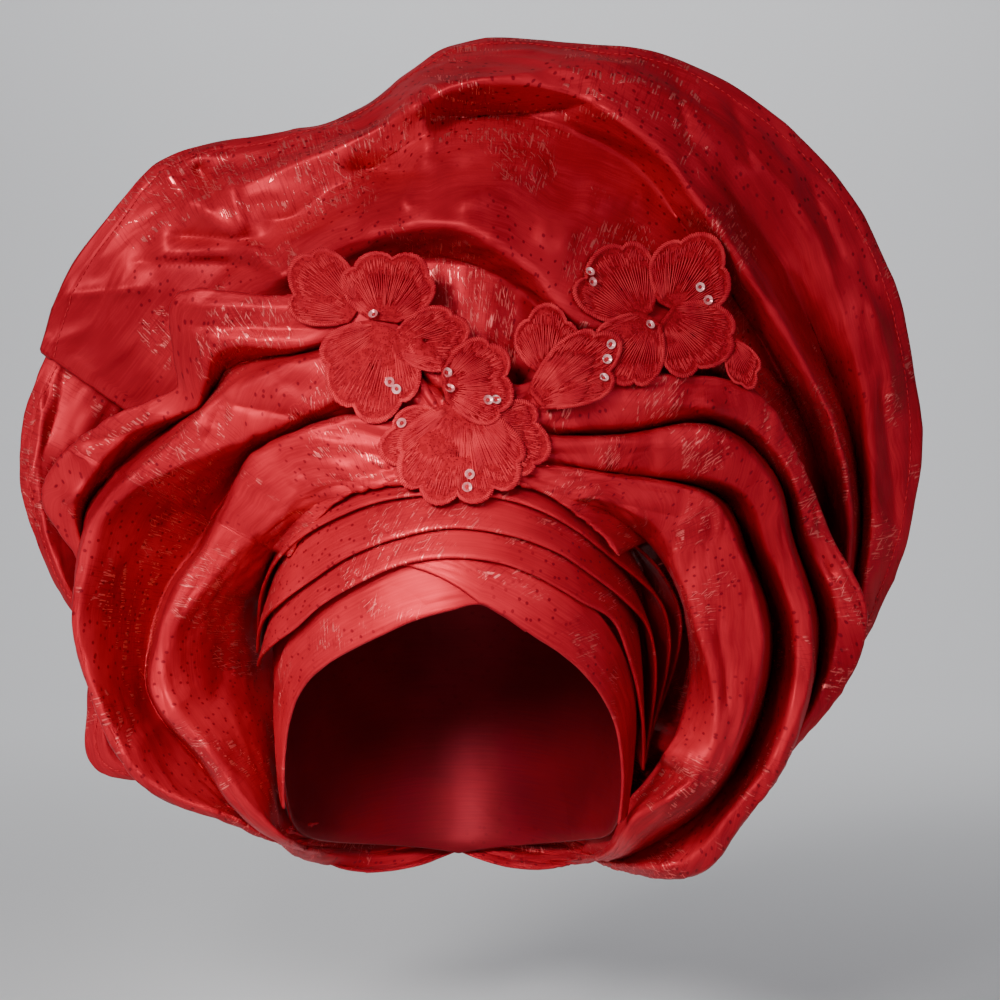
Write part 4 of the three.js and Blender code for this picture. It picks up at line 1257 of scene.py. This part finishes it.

# %% [markdown]
# The lace is matte embroidery thread: no sheen of its own, a little brighter and warmer than the
# brocade. Its net's fine holes in the middle of each petal are painted shade: dark spots painted on
# the petal for the shade seen through real holes.

# %% Lace and sequin finishes
LACE_RED = (0.25, 0.006, 0.012)
LACE_LIGHT = (0.34, 0.009, 0.016)
LACE_DARK = (0.15, 0.003, 0.006)
LACE_HOLE_SHADE = (0.09, 0.002, 0.004)
THREAD_TINT = (1, 0.3, 0.3, 1)


def lace_finish():
    f = Finish("lace", (0.5, 0.02, 0.02))
    at = f.node("ShaderNodeTexCoord", output=3)
    net = f.node("ShaderNodeTexVoronoi", {}, {"Vector": at, "Scale": 1050.0})
    # Painted shade: the net's holes are dark spots on the petal, standing in for the shade seen through
    # them.
    colour = f.mix(f.ramp(net, 0.42, 0.24) * 0.8, LACE_RED, LACE_HOLE_SHADE)
    colour = f.mix(f.uneven(250.0, 3.0, 0.35, 0.75) * 0.4, colour, LACE_LIGHT)
    colour = f.mix(f.uneven(420.0, 2.0, 0.45, 0.60) * 0.5, colour, LACE_DARK)
    f.surface_is(Base_Color=colour, Roughness=0.85, Normal=f.bump(net, 0.0003, 0.6))
    f.surface_is(Specular_IOR_Level=0.08, Specular_Tint=THREAD_TINT)
    return f.material


def thread_finish():
    f = Finish("lace_thread", (0.6, 0.03, 0.02))
    colour = f.mix(f.uneven(160.0, 2.0, 0.35, 0.7), (0.33, 0.009, 0.018), (0.46, 0.021, 0.030))
    f.surface_is(Base_Color=colour, Roughness=0.6, Specular_IOR_Level=0.12, Specular_Tint=THREAD_TINT)
    return f.material


def sequin_finish():
    f = Finish("sequin", (0.95, 0.7, 0.68))
    colour = f.mix(f.uneven(90.0, 1.0, 0.4, 0.6), (0.62, 0.13, 0.14), (0.80, 0.34, 0.34))
    f.surface_is(Base_Color=colour, Roughness=0.2, Metallic=0.4, Coat_Weight=0.5)
    return f.material


lace_red = lace_finish()
thread_red = thread_finish()
sequin_pink = sequin_finish()

stitches = {}
for k, (node, petals) in enumerate(PETALS.items()):
    stands_for(laces[node], node, lace_red)
    dressed[node] = laces[node]
    print(node, "lace:", round(cut_size(laces[node]), 5), "square metres")
    stitches[node] = [satin_stitches(node, petals, thread_red, seed=50 + k),
                      corded_rims(node, petals, thread_red)]
    for made in stitches[node]:
        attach(made, "root")


def hem_stitches(name, grid, finish, every=3.0, seed=4):
    """Running stitches along a hem, on the cloth's front and just inside the thick band."""
    rng = np.random.default_rng(seed)
    away = from_rim(grid)
    front = grid + grid_normals(grid) * (CLOTH / 2 + 0.15)
    if (front - grid)[..., 1].mean() > 0:
        front = 2 * grid - front
    line = np.array([[np.interp(HEM + 0.5, far[::-1], column[::-1, k]) for k in range(3)]
                     for far, column in zip(away, front)])
    run = np.concatenate([[0], np.cumsum(np.linalg.norm(np.diff(line, axis=0), axis=1))])
    at = np.arange(2.0, run[-1] - 2.0, every)
    at = at + rng.uniform(-0.15, 0.15, len(at))
    start, end = (np.stack([np.interp(at + s, run, line[:, k]) for k in range(3)], axis=1) for s in (-1, 1))
    return threads_between(name, list(zip(start, end)), (0.5, 0.5), finish, long=2.2)


for node, grid in (("top_fan", fan_grid), ("left_leaf", leaf_grid)):
    made = hem_stitches(f"{node}_hem_stitches", grid, thread_red)
    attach(made, "root")
    stitches[node] = [made]
bpy.data.objects.remove(thread)

# %% [markdown]
# A sequin is a thin cupped disc with a hole in its middle, sewn on through a seed bead.

# %% Sequins
SEQUINS = [
    {"on": "lace_left", "places": [[-35, 140], [-28, 111], [-25, 108]]},
    {"on": "lace_middle", "places": [[-3.4, 115], [-2.2, 108], [14.2, 103.2], [17.6, 103.2]]},
    {"on": "lace_knot", "places": [[-22.8, 93.3], [6.5, 71.4], [5.2, 65.8]]},
    {"on": "lace_fold", "places": [[67, 127.3], [65.4, 120.8], [64, 112.7]]},
    {"on": "lace_right", "places": [[58, 158.2], [59, 154], [105.4, 151.8], [108.8, 146.2], [83.8, 135.5]]},
]


SEQUIN_HIGH = 1.7


def sew_sequins():
    cup = [(0.75, 0.0), (1.2, 0.10), (1.65, 0.34), (1.9, 0.58), (1.95, 0.70), (1.8, 0.66), (1.5, 0.46),
           (1.1, 0.24), (0.75, 0.14)]
    bead = [(0.05, -0.3), (0.42, -0.2), (0.5, 0.0), (0.42, 0.2), (0.05, 0.3)]
    cup_shape, bead_shape = lathed("cup_shape", cup, 20), lathed("bead_shape", bead, 10)
    rng = np.random.default_rng(8)
    cups, turns, beads = [], [], []
    for row in SEQUINS:
        lift = max(p["lift"] for p in PETALS[row["on"]])
        for x, z in row["places"]:
            x, z = np.array(float(x)), np.array(float(z))
            high = lift + SEQUIN_HIGH
            at = seen_place(x, z, drape_depth(skin, x, z) - high)
            right = seen_place(x + 2, z, drape_depth(skin, x + 2, z) - high) - at
            up = seen_place(x, z + 2, drape_depth(skin, x, z + 2) - high) - at
            out = np.cross(right, up)
            out = out / np.linalg.norm(out) * (-1 if out[1] > 0 else 1) + rng.uniform(-0.25, 0.25, 3)
            cups.append(at)
            turns.append(facing(np.cross(up, out), out))
            beads.append(at + out / np.linalg.norm(out) * 0.1)
    one = np.ones((len(cups), 3))
    parts = [repeated("sequin_cups", cups, turns, one, cup_shape, sequin_pink),
             repeated("sequin_beads", beads, turns, one, bead_shape, thread_red)]
    bpy.data.objects.remove(cup_shape)
    bpy.data.objects.remove(bead_shape)
    return joined("sequin_set", parts)


sequins = sew_sequins()
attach(sequins, "root")
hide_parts(*[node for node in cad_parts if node.startswith("sequin_")])

# %% [markdown]
# The petals of a lace flower overlap, so its area counts each petal.

# %% [markdown]
# The stage is a plain pale floor that sweeps up behind the part. A soft key light stands ahead on the
# left, a broad weak one on the right, a small one lifts the brow, and one lights the wall. The camera
# stands where the photograph was taken from.

# %% Stage, lights and camera
WHITE = (1, 1, 1)
LIGHTS = table(
    "name place aim size power colour spread",
    ("key", (-0.60, -0.95, 0.55), (0, 0, 0.03), (0.26, 0.26), 16.5, WHITE, 180),
    ("brow", (-0.14, -0.62, 0.20), (-0.045, -0.10, -0.01), (0.12, 0.12), 0.30, WHITE, 36),
    ("fill", (0.75, -1.15, 0.36), (0, 0, 0.08), (0.7, 0.7), 5.2, (0.90, 0.94, 1.0), 180),
    ("wall", (0.1, 1.3, 1.9), (0.1, 3.0, 0.5), (2.4, 0.5), 40, (0.95, 0.97, 1.0), 180))
STAGE = {"floor": -0.22, "wall": 3.0, "turn": 0.9, "half": 4.0, "steps": 12}
PHOTO_WIDTH = 430
SENSOR = 36


def placed(name, data, place, turn):
    """An object for a light or a camera."""
    made = bpy.data.objects.new(name, data)
    made.location = place
    made.rotation_euler = turn
    bpy.context.scene.collection.objects.link(made)
    return made


def soft_light(row):
    light = bpy.data.lights.new(row["name"], "AREA")
    light.shape = "RECTANGLE"
    light.size, light.size_y = row["size"]
    light.energy = row["power"]
    light.color = row["colour"]
    light.spread = math.radians(row["spread"])
    way = Vector(row["aim"]) - Vector(row["place"])
    placed(row["name"], light, row["place"], way.to_track_quat("-Z", "Y").to_euler())


def sweep():
    """A floor that turns up into a wall behind the part."""
    floor, wall, turn, half = (STAGE[key] for key in ("floor", "wall", "turn", "half"))
    profile = [(-half, floor), (wall - turn, floor)]
    for k in range(1, STAGE["steps"] + 1):
        a = math.pi / 2 * k / STAGE["steps"]
        profile.append((wall - turn + turn * math.sin(a), floor + turn * (1 - math.cos(a))))
    profile.append((wall, half))
    points = [(x, y, z) for y, z in profile for x in (-half, half)]
    faces = [(2 * k, 2 * k + 1, 2 * k + 3, 2 * k + 2) for k in range(len(profile) - 1)]
    made = new_object("stage_sweep", np.array(points), faces)
    f = Finish("stage", (0.6, 0.6, 0.62))
    f.surface_is(Base_Color=(0.80, 0.79, 0.79, 1), Roughness=0.9)
    made.data.materials.append(f.material)


sweep()
for row in LIGHTS:
    soft_light(row)
world = bpy.data.worlds.new("studio")
world.use_nodes = True
world.node_tree.nodes["Background"].inputs["Color"].default_value = (0.9, 0.92, 1.0, 1)
world.node_tree.nodes["Background"].inputs["Strength"].default_value = 0.14
bpy.context.scene.world = world

camera = bpy.data.cameras.new("camera")
camera.sensor_width = SENSOR
camera.lens = SENSOR * 900 / PHOTO_WIDTH
bpy.context.scene.camera = placed("camera", camera, (0.01935, -0.9, 0.0602), (math.radians(90), 0, 0))
print("lights:", len(LIGHTS), "lens:", round(camera.lens, 1), "mm")
